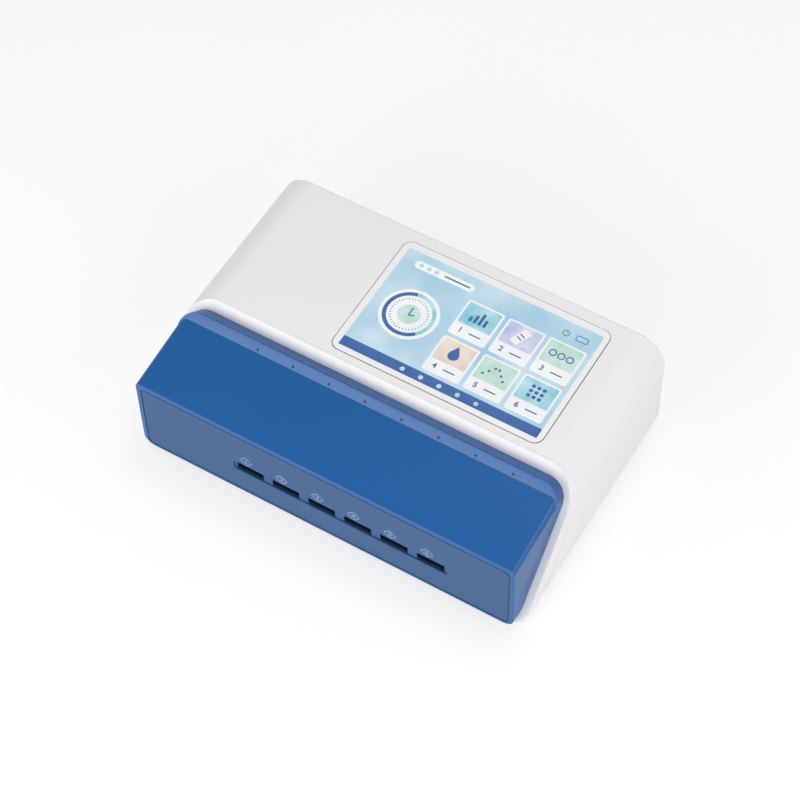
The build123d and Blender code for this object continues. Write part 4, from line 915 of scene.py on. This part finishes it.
glassPrint = dict(edge=0.35, corner=6.6, holeCorner=0.6, over=0.2, ink=0.02, inkUnder=0.01)


def makeBorder(v):
    # White print on the glass, from its edge to the lit area.
    middle = ((glassLow.x + glassHigh.x) / 2, (glassLow.y + glassHigh.y) / 2)
    wide, deep = (glassHigh.x - glassLow.x) / mm, (glassHigh.y - glassLow.y) / mm
    mesh = bmesh.new()
    outer = roundedBox(wide - 2 * v["edge"], deep - 2 * v["edge"], v["corner"])
    inner = roundedBox(display["wide"] + v["over"], display["high"] + v["over"], v["holeCorner"])
    ring(mesh, outer, inner, -v["inkUnder"], v["ink"],
         lambda a, b, c: Vector((middle[0] + a * mm, middle[1] + b * mm, glassHigh.z + c * mm)))
    piece = finishMesh("display_glass_print", mesh, made["borderWhite"])


makeDisplay(display)
makeBorder(glassPrint)
print("display made")


# Floor, world and lamps

studio = dict(floorColour=0.9, floorGlow=1.04, floorShare=0.62, overhead=0.30, horizon=0.66, size=4.0)


def makeFloor(v):
    bpy.ops.mesh.primitive_plane_add(size=v["size"])
    floor = bpy.context.object
    floor.name = "floor"
    mat, tree = newMaterial("floorPaper")
    link = tree.links.new
    out = addNode(tree, "ShaderNodeOutputMaterial")
    paper = addNode(tree, "ShaderNodeBsdfDiffuse", {0: (v["floorColour"],) * 3 + (1,)})
    glow = addNode(tree, "ShaderNodeEmission", {1: v["floorGlow"]})
    ray = addNode(tree, "ShaderNodeLightPath")
    seen = addNode(tree, "ShaderNodeMath", operation="MAXIMUM")
    link(ray.outputs["Is Camera Ray"], seen.inputs[0])
    link(ray.outputs["Is Glossy Ray"], seen.inputs[1])
    more = addNode(tree, "ShaderNodeMath", operation="MAXIMUM")
    link(seen.outputs[0], more.inputs[0])
    link(ray.outputs["Is Transmission Ray"], more.inputs[1])
    share = addNode(tree, "ShaderNodeMath", {1: v["floorShare"]}, operation="MULTIPLY")
    link(more.outputs[0], share.inputs[0])
    mix = addNode(tree, "ShaderNodeMixShader")
    link(share.outputs[0], mix.inputs[0])
    link(paper.outputs[0], mix.inputs[1])
    link(glow.outputs[0], mix.inputs[2])
    link(mix.outputs[0], out.inputs[0])
    floor.data.materials.append(mat)


def makeWorld(v):
    # Brighter at the horizon than overhead, and plain white to the camera.
    world = bpy.data.worlds.new("studio")
    world.use_nodes = True
    tree = world.node_tree
    tree.nodes.clear()
    link = tree.links.new
    out = addNode(tree, "ShaderNodeOutputWorld")
    soft = addNode(tree, "ShaderNodeBackground")
    way = addNode(tree, "ShaderNodeTexCoord")
    parts = addNode(tree, "ShaderNodeSeparateXYZ")
    link(way.outputs["Generated"], parts.inputs[0])
    link(rangeOf(tree, parts.outputs["Z"], {"To Min": v["horizon"], "To Max": v["overhead"]}), soft.inputs[1])
    white = addNode(tree, "ShaderNodeBackground", {1: 1})
    ray = addNode(tree, "ShaderNodeLightPath")
    mix = addNode(tree, "ShaderNodeMixShader")
    link(ray.outputs["Is Camera Ray"], mix.inputs[0])
    link(soft.outputs[0], mix.inputs[1])
    link(white.outputs[0], mix.inputs[2])
    link(mix.outputs[0], out.inputs[0])
    scene.world = world


def softBox(name, place, aim, size, power, mirrored=True):
    data = bpy.data.lights.new(name, "AREA")
    data.shape = "RECTANGLE"
    data.size, data.size_y = size
    data.energy = power
    lamp = bpy.data.objects.new(name, data)
    lamp.location = place
    lamp.rotation_euler = (Vector(aim) - Vector(place)).to_track_quat("-Z", "Y").to_euler()
    lamp.visible_glossy = mirrored
    scene.collection.objects.link(lamp)


lamps = [
    ("frontBox", (-0.45, -1.35, 0.72), (0, 0, 0.05), (1.2, 0.7), 13),
    ("sideBox", (0.95, -1.15, 0.8), (0, 0, 0.05), (0.9, 0.7), 5),
    ("rightBox", (1.4, -0.1, 0.9), (0, 0, 0.05), (0.9, 0.9), 6),
    ("topBox", (0.1, 0.3, 1.7), (0, 0, 0.05), (0.8, 0.8), 9, False),
]
makeFloor(studio)
makeWorld(studio)
for lamp in lamps:
    softBox(*lamp)
print("studio set")
